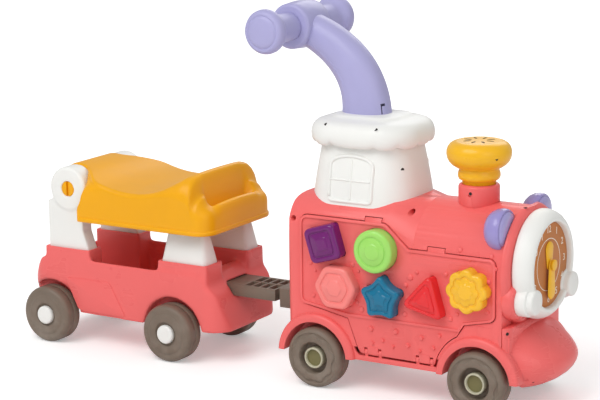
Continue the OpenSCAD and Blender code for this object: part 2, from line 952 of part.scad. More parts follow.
// One ring of points round the arm
function arm_ring(t) =
    let (c = arm_at(t), a = arm_across(t),
         half = arm_base_half + (arm_top_half - arm_base_half) * t,
         half_w = arm_base_half_w + (arm_top_half_w - arm_base_half_w) * t)
    [for (i = [0:arm_sides - 1])
        let (u = half * cos(i * 360 / arm_sides), v = half_w * sin(i * 360 / arm_sides))
        [c[0] + a[0] * u, v, c[1] + a[1] * u]];

// Triangles between two neighbouring rings of n points
function ring_faces(j, n) =
    [for (i = [0:n - 1])
        let (k = (i + 1) % n, p = j * n + i, q = j * n + k)
        each [[p, q, q + n], [p, q + n, p + n]]];

// Profile of one grip with its end cap, as radius and distance from the hub
module grip_profile() {
    grip_len = (bar_len - hub_len) / 2 - bar_cap_len;
    square([grip_d / 2, grip_len + bar_flare]);
    polygon([[0, grip_len - bar_flare], [grip_d / 2, grip_len - bar_flare],
             [bar_cap_d / 2, grip_len], [0, grip_len]]);
    translate([0, grip_len]) disc_profile(bar_cap_d / 2, bar_cap_len, bar_cap_round);
}

module handle_arm() {
    points = [for (j = [0:arm_rings]) each arm_ring(j / arm_rings)];
    faces = [[for (i = [0:arm_sides - 1]) arm_sides - 1 - i],
             for (j = [0:arm_rings - 1]) each ring_faces(j, arm_sides),
             [for (i = [0:arm_sides - 1]) arm_rings * arm_sides + i]];
    color("#a5a0cd") {
        polyhedron(points = points, faces = [for (f = faces) [for (i = [len(f) - 1:-1:0]) f[i]]]);
        turned_y(bar_x, 0, bar_z) disc_profile(hub_d / 2, hub_len / 2, hub_round);
        mirror([0, 1, 0]) turned_y(bar_x, 0, bar_z) disc_profile(hub_d / 2, hub_len / 2, hub_round);
    }
}

module handle_grip_right() {
    color("#a5a0cd") turned_y(bar_x, -hub_len / 2, bar_z) grip_profile();
}

module handle_grip_left() {
    color("#a5a0cd") mirror([0, 1, 0]) turned_y(bar_x, -hub_len / 2, bar_z) grip_profile();
}

module chimney() {
    color("#f0706e") difference() {
        translate([horn_x, 0, engine_top_z - chimney_wall]) rotate_extrude() difference() {
            disc_profile(chimney_d / 2, chimney_z - engine_top_z + chimney_wall, chimney_round);
            translate([0, chimney_wall + chimney_floor]) square([horn_stem_r + run_gap, chimney_z]);
        }
        bar_x(0, boiler_z, boiler_r + seat_gap, horn_x - chimney_d, horn_x + chimney_d);
        bar_y(horn_x, (engine_top_z + chimney_z) / 2, chimney_hole_r, -chimney_d,
              chimney_hole_depth - chimney_d / 2);
    }
}

module horn_knob() {
    stem_low = chimney_z - horn_stem_in;
    collar_z = chimney_z + horn_neck;
    collar_r = chimney_d / 2;
    cap_z = horn_z - horn_cap_h;
    color("#f5b91e") translate([horn_x, 0, 0]) {
        translate([0, 0, stem_low]) cylinder(r = horn_stem_r, h = cap_z - stem_low);
        rotate_extrude() {
            polygon([[0, collar_z], [horn_stem_r, collar_z], [collar_r, collar_z + horn_collar_round],
                     [collar_r, cap_z + over], [0, cap_z + over]]);
            translate([0, cap_z]) disc_profile(horn_d / 2, horn_cap_h, horn_cap_round);
            translate([horn_d / 2 - horn_cap_round, cap_z + horn_cap_round]) circle(r = horn_cap_round);
        }
    }
}

module horn_bellows() {
    low = engine_top_z + chimney_floor;
    fold_h = (chimney_z - horn_stem_in - low) / bellows_folds;
    color("#4a4646") translate([horn_x, 0, low]) rotate_extrude()
        polygon([[0, 0],
                 for (i = [0:bellows_folds * 2])
                     [bellows_r - (i % 2 == 0 ? bellows_fold : 0), i * fold_h / 2],
                 [0, bellows_folds * fold_h]]);
}

module front_ring() {
    color("#f0f0ec") difference() {
        union() {
            turned_x(boiler_front_x, 0, clock_z) disc_profile(ring_r, ring_len, ring_round);
            for (side = [-1, 1])
                turned_x(boiler_front_x, side * buffer_pitch / 2, buffer_z)
                    disc_profile(buffer_d / 2, buffer_len, buffer_round);
        }
        bar_x(0, clock_z, dial_r - dial_ledge, boiler_front_x - over, nose_tip_x);
        bar_x(0, clock_z, dial_r + seat_gap, boiler_front_x + dial_back, nose_tip_x);
    }
}

module clock_dial() {
    color("#be783c") bar_x(0, clock_z, dial_r, dial_front_x - dial_t, dial_front_x);
}

module clock_pin() {
    stack = (hand_t + hand_gap) * 2 + hand_gap;
    color("#f5b91e") {
        bar_x(0, clock_z, clock_pin_r, dial_front_x, dial_front_x + stack + clock_head_t);
        bar_x(0, clock_z, clock_head_r, dial_front_x + stack, dial_front_x + stack + clock_head_t);
    }
}

// A clock hand with a round tip, bored for the pin
module hand(x, length) {
    difference() {
        along_x(x, x + hand_t) translate([0, clock_z]) hull() {
            circle(r = hand_hub_r, $fn = soft_fn);
            translate([0, length]) circle(r = hand_tip_r, $fn = soft_fn);
        }
        bar_x(0, clock_z, clock_pin_r + run_gap, x - over, x + hand_t + over);
    }
}

module hour_hand() { color("#f5b91e") hand(dial_front_x + hand_gap, hour_len); }
module minute_hand() { color("#f5b91e") hand(dial_front_x + hand_gap * 2 + hand_t, -minute_len); }

// A headlamp on the boiler's shoulder, rounded behind and with a raised lens in front
module lamp(side) {
    color("#a5a0cd") difference() {
        turned_x(lamp_x, side * lamp_y, lamp_z) {
            translate([0, lamp_len]) mirror([0, 1]) disc_profile(lamp_d / 2, lamp_len, lamp_round);
            square([lamp_d / 2 - lamp_lens_rim, lamp_len + lamp_lens_t]);
        }
        bar_x(0, boiler_z, boiler_r + seat_gap, lamp_x - over, boiler_front_x);
    }
}

module lamp_right() { lamp(-1); }
module lamp_left() { lamp(1); }

module hitch_receiver() {
    half = receiver_w / 2;
    color("#73675e") difference() {
        translate([receiver_rear_x, -half, receiver_low_z])
            cube([engine_rear_x - receiver_rear_x, receiver_w, receiver_top_z - receiver_low_z]);
        translate([receiver_rear_x - over, -half + receiver_wall, receiver_low_z + receiver_wall])
            cube([engine_rear_x - receiver_rear_x - receiver_wall + over, receiver_w - receiver_wall * 2,
                  drawbar_t + move_gap * 2]);
        translate([hitch_x, 0, receiver_low_z - over])
            cylinder(d = hitch_pin_d + run_gap * 2, h = receiver_top_z - receiver_low_z + over * 2);
    }
}

module hitch_pin() {
    color("#73675e") translate([hitch_x, 0, receiver_low_z]) {
        cylinder(d = hitch_pin_d, h = receiver_top_z - receiver_low_z + hitch_head_t);
        translate([0, 0, receiver_top_z - receiver_low_z]) cylinder(r = hitch_head_r, h = hitch_head_t);
    }
}

// Profile of a wheel with rounded shoulders, as radius and distance from its inner face
module wheel_profile() {
    half = wheel_w / 2;
    translate([0, half]) disc_profile(wheel_r, half, wheel_round);
    translate([0, half]) mirror([0, 1]) disc_profile(wheel_r, half, wheel_round);
}

// A wheel of the engine, with a deep round recess in its outer face
module engine_wheel(x, side) {
    color("#73675e") scale([1, -side, 1]) turned_y(x, -wheel_in_y, axle_z) difference() {
        wheel_profile();
        square([axle_d / 2 + run_gap, wheel_w]);
        translate([0, wheel_w - hub_recess_depth]) square([hub_recess_d / 2, wheel_w]);
    }
}

// A wheel of the trailer, with a shallow seat for its hub cap
module trailer_wheel(x, side) {
    color("#73675e") scale([1, -side, 1]) turned_y(x, -wheel_in_y, axle_z) difference() {
        wheel_profile();
        square([axle_d / 2 + run_gap, wheel_w]);
        translate([0, wheel_w - cap_dome]) square([hub_cap_d / 2 + cap_dome, wheel_w]);
    }
}

// An axle whose ends stand a little out of the recesses of its two wheels
module axle(x, recess) {
    half = track_w / 2 - recess + axle_end_gap / 2;
    color("#b8babd") bar_y(x, axle_z, axle_d / 2, -half, half);
}

// The pair of cup-shaped caps of an engine axle
module engine_caps(x) {
    base = axle_end_gap;
    color("#b9b49c") both_sides() turned_y(x, hub_recess_depth - track_w / 2, axle_z) difference() {
        square([engine_cap_d / 2, base * 2]);
        square([axle_d / 2 + run_gap, base]);
        translate([0, base + engine_cap_wall / 2]) square([engine_cap_d / 2 - engine_cap_wall, base * 2]);
    }
}

// The pair of domed caps of a trailer axle
module trailer_caps(x) {
    color("#f0f0ec") both_sides() turned_y(x, cap_dome - track_w / 2, axle_z) difference() {
        disc_profile(hub_cap_d / 2, cap_dome * 2, cap_dome);
        square([axle_d / 2 + run_gap, axle_end_gap / 2 + run_gap]);
    }
}

module engine_wheel_rear_right() { engine_wheel(engine_rear_axle_x, -1); }
module engine_wheel_rear_left() { engine_wheel(engine_rear_axle_x, 1); }
module engine_wheel_front_right() { engine_wheel(engine_front_axle_x, -1); }
module engine_wheel_front_left() { engine_wheel(engine_front_axle_x, 1); }
module engine_axle_rear() { axle(engine_rear_axle_x, hub_recess_depth); }
module engine_axle_front() { axle(engine_front_axle_x, hub_recess_depth); }
module engine_caps_rear() { engine_caps(engine_rear_axle_x); }
module engine_caps_front() { engine_caps(engine_front_axle_x); }
module trailer_wheel_rear_right() { trailer_wheel(trailer_rear_axle_x, -1); }
module trailer_wheel_rear_left() { trailer_wheel(trailer_rear_axle_x, 1); }
module trailer_wheel_front_right() { trailer_wheel(trailer_front_axle_x, -1); }
module trailer_wheel_front_left() { trailer_wheel(trailer_front_axle_x, 1); }
module trailer_axle_rear() { axle(trailer_rear_axle_x, cap_dome); }
module trailer_axle_front() { axle(trailer_front_axle_x, cap_dome); }
module trailer_caps_rear() { trailer_caps(trailer_rear_axle_x); }
module trailer_caps_front() { trailer_caps(trailer_front_axle_x); }

// Side outline of the trailer body, with a bulging rear and a sloping front, drawn in X and Z
module trailer_side() {
    rounded(trailer_round)
        polygon([[trailer_rear_x + trailer_rear_bulge, sill_z - trailer_round],
                 [trailer_front_x, sill_z - trailer_round], [trailer_front_x, sill_z],
                 [trailer_front_x - trailer_front_mid_in, trailer_front_mid_z],
                 [trailer_front_x - trailer_front_in, rim_z], [trailer_rear_x + trailer_rear_in, rim_z],
                 [trailer_rear_x, trailer_rear_mid_z]]);
}

// Plan outline of the trailer body between two places along X, drawn in by an inset
module trailer_plan(x0, x1, inset, r) {
    rounded(r) translate([x0, inset - trailer_w / 2]) square([x1 - x0, trailer_w - inset * 2]);
}

// Foot of a post on the right-hand side, drawn in X and Y and grown by a margin
module rear_foot(margin) {
    translate([seat_pivot_x - rear_post_back - margin, -rear_post_out_y - margin])
        square([rear_post_back + rear_post_front + rear_post_flare + margin * 2, rear_post_w + margin * 2]);
}

module front_foot(margin) {
    translate([front_post_rear_x - margin, -front_post_out_y - margin])
        square([front_post_front_x - front_post_rear_x + margin * 2, front_post_w + margin * 2]);
}

module trailer_body() {
    color("#f0706e") difference() {
        union() {
            difference() {
                intersection() {
                    along_y(-trailer_w, trailer_w) trailer_side();
                    along_z(sill_z, rim_z + over)
                        trailer_plan(trailer_rear_x, trailer_front_x, 0, trailer_r);
                }
                difference() {
                    along_z(tub_floor_z, rim_z + over)
                        trailer_plan(tub_rear_x, tub_front_x, trailer_wall, trailer_round);
                    both_sides() wells(trailer_axles, trailer_wall);
                }
                along_z(sill_z - over, tub_floor_z - trailer_wall)
                    trailer_plan(tub_rear_x, tub_front_x, trailer_wall, trailer_round);
            }
            both_sides() {
                along_z(tub_floor_z - over, socket_z) rear_foot(socket_wall);
                along_z(tub_floor_z - over, socket_z) front_foot(socket_wall);
                for (x = trailer_axles) bearing(x, well_y - trailer_wall, tub_floor_z - over);
            }
        }
        both_sides() {
            wells(trailer_axles, 0);
            along_y(-trailer_w, fold_depth - trailer_w / 2)
                polygon([[trailer_rear_axle_x, sill_z - over], [trailer_rear_axle_x, fold_z],
                         [fold_bend_x, fold_z], [fold_foot_x, sill_z - over]]);
            along_z(post_base_z, socket_z + over) rear_foot(seat_gap);
            along_z(post_base_z, socket_z + over) front_foot(seat_gap);
        }
        both_sides() difference() {
            along_z(sill_z - over, post_base_z - trailer_wall) {
                rear_foot(0);
                front_foot(0);
            }
            wells(trailer_axles, trailer_wall);
            for (x = trailer_axles) bearing(x, well_y - trailer_wall, tub_floor_z);
        }
        for (x = trailer_axles) bar_y(x, axle_z, axle_d / 2 + run_gap, -track_w, track_w);
        translate([drawbar_rear_x - seat_gap, -drawbar_w / 2 - seat_gap,
                   drawbar_top_z - drawbar_t - seat_gap])
            cube([trailer_w, drawbar_w + seat_gap * 2, drawbar_t + seat_gap * 2]);
    }
}

// A rear post: a flat column that flares at its foot and ends in the eye disc of the seat's pivot
module rear_post() {
    back = seat_pivot_x - rear_post_back;
    front = seat_pivot_x + rear_post_front;
    in_y = -(rear_post_out_y - rear_post_w);
    difference() {
        union() {
            along_y(-rear_post_out_y, in_y) {
                polygon([[back, post_base_z], [front + rear_post_flare, post_base_z],
                         [front + rear_post_flare, socket_z], [front, rear_post_flare_z],
                         [front, seat_pivot_z], [back, seat_pivot_z - rear_post_back / 2]]);
                translate([seat_pivot_x, seat_pivot_z]) circle(d = eye_d);
            }
            turned_y(seat_pivot_x, in_y + eye_proud, seat_pivot_z)
                disc_profile(eye_d / 2, rear_post_w + eye_proud * 2, eye_round);
        }
        bar_y(seat_pivot_x, seat_pivot_z, seat_pin_d / 2 + run_gap, -trailer_w, 0);
    }
}

// A front post: a tapering column that carries the front of the seat
module front_post() {
    top_z = skirt_z - move_gap;
    hull() {
        along_z(post_base_z, socket_z) front_foot(0);
        along_z(top_z - slice_t, top_z) front_foot(-front_post_in);
    }
}

module rear_post_right() { color("#f0f0ec") rear_post(); }
module rear_post_left() { color("#f0f0ec") mirror([0, 1, 0]) rear_post(); }
module front_post_right() { color("#f0f0ec") front_post(); }
module front_post_left() { color("#f0f0ec") mirror([0, 1, 0]) front_post(); }

// Height that runs smoothly from one value to another as a share goes from 0 to 1
function ease(a, b, share) = a + (b - a) * (1 - cos(180 * share)) / 2;

// Side outline of the seat: a rear roll, a dip to sit in, a hump, a finger trough and a front lip
module seat_side() {
    roll_top = seat_pivot_z + seat_roll_r;
    translate([seat_pivot_x, seat_pivot_z]) circle(r = seat_roll_r);
    rounded(seat_round)
        polygon([[seat_pivot_x, skirt_z],
                 for (i = [0:seat_steps]) let (s = i / seat_steps)
                     [seat_pivot_x + (seat_dip_x - seat_pivot_x) * s, ease(roll_top, seat_dip_z, s)],
                 for (i = [1:seat_steps]) let (s = i / seat_steps)
                     [seat_dip_x + (seat_hump_x - seat_dip_x) * s, ease(seat_dip_z, seat_hump_z, s)],
                 for (i = [1:seat_steps]) let (s = i / seat_steps)
                     [seat_hump_x + (seat_trough_x - seat_hump_x) * s, ease(seat_hump_z, seat_trough_z, s)],
                 [seat_trough_x + seat_trough_w, seat_trough_z], [seat_lip_x, seat_lip_z],
                 [seat_front_x - seat_round, seat_lip_z], [seat_front_x, seat_edge_z],
                 [seat_front_x, skirt_z]]);
}

module seat() {
    half = seat_w / 2;
    color("#f0aa05") {
        difference() {
            intersection() {
                along_y(-half, half) seat_side();
                union() {
                    difference() {
                        along_z(skirt_z, seat_hump_z + over) rounded(seat_corner)
                            translate([seat_wide_x - seat_corner, -half])
                                square([seat_front_x - seat_wide_x + seat_corner, seat_w]);
                        bar_y(seat_pivot_x, seat_pivot_z, eye_d / 2 + seat_eye_gap, -seat_w, seat_w);
                        translate([seat_wide_x - seat_w, -half - over, 0])
                            cube([seat_w, seat_w + over * 2, seat_hump_z + over]);
                    }
                    translate([seat_pivot_x - seat_w, -seat_roll_w / 2, skirt_z])
                        cube([seat_wide_x + seat_w - seat_pivot_x, seat_roll_w, seat_w]);
                }
            }
            intersection() {
                along_y(seat_wall - half, half - seat_wall) seat_hollow();
                along_z(-over, seat_hump_z) rounded(seat_corner)
                    translate([seat_pivot_x, seat_wall - half])
                        square([seat_front_x - seat_wall - seat_pivot_x, seat_w - seat_wall * 2]);
            }
        }
        both_sides() along_y(-seat_rib_y - seat_rib_t / 2, -seat_rib_y + seat_rib_t / 2) intersection() {
            seat_side();
            translate([front_post_rear_x, skirt_z])
                square([front_post_front_x - front_post_rear_x - front_post_in, seat_hump_z]);
        }
        both_sides() difference() {
            bar_y(seat_pivot_x, seat_pivot_z, seat_pin_d / 2, -rear_post_out_y - eye_proud,
                  over - seat_roll_w / 2);
            translate([seat_pivot_x - pin_slot_w / 2, -rear_post_out_y - eye_proud - over,
                       seat_pivot_z - seat_pin_d / 2 + pin_slot_w])
                cube([pin_slot_w, pin_slot_depth + over, seat_pin_d - pin_slot_w * 2]);
        }
    }
}

// The hollow under the seat, drawn in X and Z
module seat_hollow() {
    intersection() {
        union() {
            offset(delta = -seat_wall) seat_side();
            translate([0, -seat_wall * 2]) offset(delta = -seat_wall) seat_side();
        }
        translate([seat_pivot_x + seat_roll_r + seat_wall, 0]) square([seat_w * 2, seat_hump_z]);
    }
}

module drawbar() {
    low = drawbar_top_z - drawbar_t;
    cell_len = (drawbar_front_x - trailer_front_x - cell_wall) / cell_cols - cell_wall;
    cell_w = (drawbar_w - cell_wall) / cell_rows - cell_wall;
    color("#73675e") difference() {
        union() {
            translate([drawbar_rear_x, -drawbar_w / 2, low])
                cube([drawbar_front_x - drawbar_rear_x, drawbar_w, drawbar_t]);
            translate([drawbar_front_x - cell_wall, -tongue_r, low])
                cube([hitch_x - drawbar_front_x + cell_wall, tongue_r * 2, drawbar_t]);
            translate([hitch_x, 0, low]) cylinder(r = tongue_r, h = drawbar_t);
        }
        translate([hitch_x, 0, low - over])
            cylinder(r = hitch_pin_d / 2 + run_gap, h = drawbar_t + over * 2);
        for (i = [0:cell_cols - 1], j = [0:cell_rows - 1])
            translate([trailer_front_x + cell_wall + i * (cell_len + cell_wall),
                       cell_wall - drawbar_w / 2 + j * (cell_w + cell_wall), drawbar_top_z - cell_depth])
                cube([cell_len, cell_w, cell_depth + over]);
    }
}

engine_shell_right();
engine_shell_left();
engine_base();
block_bin();
engine_screws();
sorter_door();
door_pins();
block_square();
block_circle();
block_hexagon();
block_star();
block_triangle();
block_flower();
cab_body();
cab_roof();
handle_arm();
handle_grip_right();
handle_grip_left();
chimney();
horn_knob();
horn_bellows();
front_ring();
clock_dial();
clock_pin();
hour_hand();
minute_hand();
lamp_right();
lamp_left();
hitch_receiver();
hitch_pin();
engine_axle_rear();
engine_axle_front();
engine_wheel_rear_right();
engine_wheel_rear_left();
engine_wheel_front_right();
engine_wheel_front_left();
engine_caps_rear();
engine_caps_front();
trailer_body();
rear_post_right();
rear_post_left();
front_post_right();
front_post_left();
seat();
drawbar();
trailer_axle_rear();
trailer_axle_front();
trailer_wheel_rear_right();
trailer_wheel_rear_left();
trailer_wheel_front_right();
trailer_wheel_front_left();
trailer_caps_rear();
trailer_caps_front();
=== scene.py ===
"""Ride-on train: a coral engine with a sorter door, clock face, horn and push handle, and its seat trailer."""

import math

import bmesh
import bpy
from mathutils import Matrix, Vector


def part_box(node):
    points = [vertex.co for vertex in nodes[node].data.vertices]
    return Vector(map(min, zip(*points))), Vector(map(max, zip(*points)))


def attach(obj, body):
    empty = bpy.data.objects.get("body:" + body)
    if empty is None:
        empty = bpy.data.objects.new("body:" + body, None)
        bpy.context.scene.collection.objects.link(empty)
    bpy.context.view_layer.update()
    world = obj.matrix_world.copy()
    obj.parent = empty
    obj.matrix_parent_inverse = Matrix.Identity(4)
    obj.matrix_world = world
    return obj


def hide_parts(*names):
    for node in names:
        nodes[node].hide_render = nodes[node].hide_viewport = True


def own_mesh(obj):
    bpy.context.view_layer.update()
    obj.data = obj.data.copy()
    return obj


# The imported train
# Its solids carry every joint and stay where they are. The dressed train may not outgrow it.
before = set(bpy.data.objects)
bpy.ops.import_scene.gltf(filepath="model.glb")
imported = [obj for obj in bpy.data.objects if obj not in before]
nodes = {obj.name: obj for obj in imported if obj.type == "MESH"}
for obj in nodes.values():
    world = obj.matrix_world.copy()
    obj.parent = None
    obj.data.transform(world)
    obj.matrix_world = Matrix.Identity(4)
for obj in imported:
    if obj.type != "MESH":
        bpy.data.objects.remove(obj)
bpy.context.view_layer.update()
MM = 0.001


# Engine shells
# Two injection-moulded halves in coral polypropylene, screwed together along the middle of the boiler. The floor pan
# and the block bin inside are moulded from the same batch; their darker coral is painted shade.
def srgb(red, green, blue):
    """A colour picked in 8-bit sRGB, as the linear RGBA that a shader socket takes."""
    linear = [c / 3294.6 if c <= 10 else ((c / 255 + 0.055) / 1.055) ** 2.4 for c in (red, green, blue)]
    return (*linear, 1.0)


def new_group(name, inputs, outputs, tree_kind="ShaderNodeTree"):
    """A node group with named sockets; returns its tree, its input node and its output node."""
    tree = bpy.data.node_groups.new(name, tree_kind)
    for label, kind, value in inputs:
        socket = tree.interface.new_socket(label, in_out="INPUT", socket_type="NodeSocket" + kind)
        if value is not None:
            socket.default_value = value
    for label, kind in outputs:
        tree.interface.new_socket(label, in_out="OUTPUT", socket_type="NodeSocket" + kind)
    return tree, tree.nodes.new("NodeGroupInput"), tree.nodes.new("NodeGroupOutput")


def feed(tree, node, values):
    """Fills inputs of a node, each with a plain value or from another node's socket."""
    for label, value in values.items():
        if isinstance(value, bpy.types.NodeSocket):
            tree.links.new(value, node.inputs[label])
        else:
            node.inputs[label].default_value = value


def add_node(tree, kind, values, **settings):
    """A new node with its settings and its inputs."""
    node = tree.nodes.new(kind)
    for label, value in settings.items():
        setattr(node, label, value)
    feed(tree, node, values)
    return node


def noise(tree, vector, scale, detail):
    """A noise texture on a vector socket; returns its factor socket."""
    return add_node(tree, "ShaderNodeTexNoise", {"Vector": vector, "Scale": scale, "Detail": detail}).outputs["Fac"]


def math_node(tree, operation, first, second, clamp=False):
    """One Math node whose two values are sockets or numbers; returns its result socket."""
    return add_node(tree, "ShaderNodeMath", {0: first, 1: second}, operation=operation, use_clamp=clamp).outputs[0]


def map_range(tree, value, low, high, new_low, new_high):
    """A clamped Map Range node; each limit is a number or a socket."""
    limits = {"From Min": low, "From Max": high, "To Min": new_low, "To Max": new_high}
    return add_node(tree, "ShaderNodeMapRange", {"Value": value, **limits}).outputs["Result"]


def build_moulded_finish():
    """Moulded plastic: a tint that drifts a little with the melt's flow, a spark-eroded grain and faint scuffs."""
    tree, given, result = new_group(
        "moulded_finish",
        [("Tint", "Color", (0.8, 0.8, 0.8, 1.0)), ("Drift", "Float", 0.05), ("Gloss", "Float", 0.4),
         ("Grain", "Float", 900.0)],
        [("Color", "Color"), ("Roughness", "Float"), ("Height", "Float")])
    place = tree.nodes.new("ShaderNodeTexCoord").outputs["Object"]
    flow_scale, flow_low, flow_high, gloss_drift, scuff_depth = 16.0, 0.3, 0.7, 0.05, 0.04
    flow = noise(tree, place, flow_scale, 3.0)
    grain = noise(tree, place, given.outputs["Grain"], 2.0)
    stretch = add_node(tree, "ShaderNodeMapping",
                       {"Vector": place, "Scale": (35.0, 60.0, 420.0), "Rotation": (0.4, 0.9, 0.2)})
    scuffs = map_range(tree, noise(tree, stretch.outputs["Vector"], 1.0, 4.0), 0.55, 0.8, 0.0, scuff_depth)
    darker = math_node(tree, "SUBTRACT", 1.0, given.outputs["Drift"])
    lighter = math_node(tree, "ADD", 1.0, given.outputs["Drift"])
    drift = map_range(tree, flow, flow_low, flow_high, darker, lighter)
    tint = add_node(tree, "ShaderNodeHueSaturation", {"Value": drift, "Color": given.outputs["Tint"]})
    patches = map_range(tree, flow, flow_low, flow_high, -gloss_drift, gloss_drift)
    uneven = math_node(tree, "ADD", given.outputs["Gloss"], patches)
    rough = math_node(tree, "ADD", uneven, scuffs, clamp=True)
    height = math_node(tree, "ADD", grain, math_node(tree, "MULTIPLY", flow, 0.5))
    feed(tree, result, {"Color": tint.outputs["Color"], "Roughness": rough, "Height": height})
    return tree


def build_floor_dust():
    """Pale dust and rub marks that gather near the floor: a mask that fades out with height."""
    tree, given, result = new_group(
        "floor_dust", [("Low", "Float", 0.0), ("High", "Float", 0.1), ("Amount", "Float", 0.2)], [("Mask", "Float")])
    place = tree.nodes.new("ShaderNodeTexCoord").outputs["Object"]
    apart = add_node(tree, "ShaderNodeSeparateXYZ", {"Vector": place})
    near_floor = map_range(tree, apart.outputs["Z"], given.outputs["Low"], given.outputs["High"], 1.0, 0.0)
    blotches = map_range(tree, noise(tree, place, 55.0, 5.0), 0.4, 0.75, 0.0, 1.0)
    patchy = math_node(tree, "MULTIPLY", near_floor, blotches)
    feed(tree, result, {"Mask": math_node(tree, "MULTIPLY", patchy, given.outputs["Amount"])})
    return tree


moulded_finish = build_moulded_finish()
floor_dust = build_floor_dust()
DUST = srgb(205, 196, 186)


def place_group(tree, group, **values):
    """A copy of a shader group in a material, with its own plain values."""
    return add_node(tree, "ShaderNodeGroup", values, node_tree=group)


def new_material(name):
    """A material with nodes; returns it, its tree and its shader."""
    material = bpy.data.materials.new(name)
    material.use_nodes = True
    tree = material.node_tree
    return material, tree, tree.nodes["Principled BSDF"]


def plastic(name, tint, gloss=0.38, drift=0.04, grain=900.0, coat=0.0, dust_top=None, dust=0.25):
    """A moulded plastic; dust_top is the height up to which floor dust lies on it."""
    material, tree, shader = new_material(name)
    finish = place_group(tree, moulded_finish, Tint=tint, Drift=drift, Gloss=gloss, Grain=grain)
    colour = finish.outputs["Color"]
    if dust_top:
        dusty = place_group(tree, floor_dust, High=dust_top, Amount=dust)
        mixed = {"Factor": dusty.outputs["Mask"], "A": colour, "B": DUST}
        colour = add_node(tree, "ShaderNodeMix", mixed, data_type="RGBA").outputs["Result"]
    bump = add_node(tree, "ShaderNodeBump",
                    {"Strength": 0.12, "Distance": 0.0002, "Height": finish.outputs["Height"]})
    feed(tree, shader, {"Base Color": colour, "Roughness": finish.outputs["Roughness"],
                        "Normal": bump.outputs["Normal"], "Specular IOR Level": 0.3, "Coat Weight": coat,
                        "Coat Roughness": gloss * 0.5})
    return material


SAME_PLACE = 1e-5


def cover(piece, material):
    """Gives a whole piece one finish and smooth faces."""
    piece.data.materials.clear()
    piece.data.materials.append(material)
    piece.data.shade_smooth()


def weld(piece):
    """Joins the loose triangles of a solid."""
    piece.modifiers.new("joined", "WELD").merge_threshold = SAME_PLACE


def finish_solid(piece, material, edge):
    """Gives a solid its finish, and edges broken by that many millimetres."""
    cover(piece, material)
    weld(piece)
    bevel = piece.modifiers.new("broken_edges", "BEVEL")
    bevel.width = edge * MM
    bevel.segments = 2
    bevel.limit_method = "ANGLE"
    bevel.angle_limit = math.radians(32)
    bevel.harden_normals = True
    bevel.use_clamp_overlap = True
    return piece


def dress(node, material, edge=0.7):
    """Gives a solid of the frame its finish."""
    return finish_solid(nodes[node], material, edge)


def new_object(name, data):
    """An object of the scene round a mesh, a curve, a light or a camera."""
    made = bpy.data.objects.new(name, data)
    bpy.context.scene.collection.objects.link(made)
    return made


def mount(piece, body, slot, *replaced):
    """Hands a piece over: the body it rides on, its slot, which is not used, and the solids that it stands for."""
    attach(piece, body)
    if replaced:
        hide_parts(*replaced)
    return piece


def trimmed(node, cut, material, edge, slot):
    """A copy of a solid that a cut has been made in; it takes the solid's place on the engine."""
    shape = bmesh.new()
    shape.from_mesh(nodes[node].data)
    bmesh.ops.remove_doubles(shape, verts=shape.verts, dist=SAME_PLACE)
    cut(shape)
    mesh = bpy.data.meshes.new("trimmed_" + node)
    shape.to_mesh(mesh)
    shape.free()
    piece = mount(new_object(mesh.name, mesh), "engine", slot, node)
    return finish_solid(piece, material, edge)


AXLE_X, AXLE_Z = 0.288, 0.037
NOSE_BACK, NOSE_TOP, NOSE_HALF, FENDER_R, PAN_END = 0.3265, 0.1042, 0.0725, 0.0546, 0.345


def open_nose(shape):
    """Takes away the plain nose in front of the boiler's wall and leaves the fenders."""
    nose = [v for v in shape.verts if v.co.x > NOSE_BACK and v.co.z < NOSE_TOP and abs(v.co.y) < NOSE_HALF
            and math.hypot(v.co.x - AXLE_X, v.co.z - AXLE_Z) > FENDER_R]
    bmesh.ops.delete(shape, geom=nose, context="VERTS")


def shorten_pan(shape):
    """Ends the floor pan inside the rounded nose."""
    everything = shape.verts[:] + shape.edges[:] + shape.faces[:]
    cut = bmesh.ops.bisect_plane(shape, geom=everything, plane_co=(PAN_END, 0, 0), plane_no=(1, 0, 0),
                                 clear_outer=True)
    edges = [item for item in cut["geom_cut"] if isinstance(item, bmesh.types.BMEdge)]
    bmesh.ops.holes_fill(shape, edges=edges)


coral = plastic("coral_plastic", srgb(240, 108, 106), gloss=0.3, drift=0.02, dust_top=0.07, dust=0.02)
# The shells' coral, darkened as painted shade for the floor pan and the block bin inside the engine.
coral_inside_painted_shade = plastic("coral_inside_painted_shade", srgb(226, 88, 88), gloss=0.5)
for shell in ("engine_shell_right", "engine_shell_left"):
    trimmed(shell, open_nose, coral, 0.9, "coral")
trimmed("engine_base", shorten_pan, coral_inside_painted_shade, 0.5, "coral")
dress("block_bin", coral_inside_painted_shade, 0.5)


# Screws and hinge pins
# Five zinc-plated screws pull the shells together, and two plain steel pins carry the door at its foot. The four
# axles are cut from the same drawn rod.
def metal(name, tint, gloss):
    """Plain steel with a drawn grain."""
    material, tree, shader = new_material(name)
    finish = place_group(tree, moulded_finish, Tint=tint, Drift=0.08, Gloss=gloss, Grain=2500.0)
    feed(tree, shader, {"Base Color": finish.outputs["Color"], "Roughness": finish.outputs["Roughness"],
                        "Metallic": 1.0})
    return material


steel = metal("drawn_steel", srgb(184, 186, 190), 0.3)
for pin in ("engine_screws", "door_pins", "engine_axle_rear", "engine_axle_front", "trailer_axle_rear",
            "trailer_axle_front"):
    dress(pin, steel, 0.3)

# Sorter door
# A curved coral panel with a raised bead and six shaped holes, hinged along its foot. Low bumps are moulded on its
# face: small domes, and six-sided pads on the strip below the bead.
dress("sorter_door", coral, 0.6)


def skin_y(z):
    """How far out the engine's right-hand skin lies at a height, up the flank and round the boiler."""
    sill, axis, sill_half, axis_half = 0.041, 0.165, 0.072, 0.070
    if z > axis:
        return -math.sqrt(axis_half ** 2 - (z - axis) ** 2)
    return -(sill_half + (axis_half - sill_half) * (z - sill) / (axis - sill))


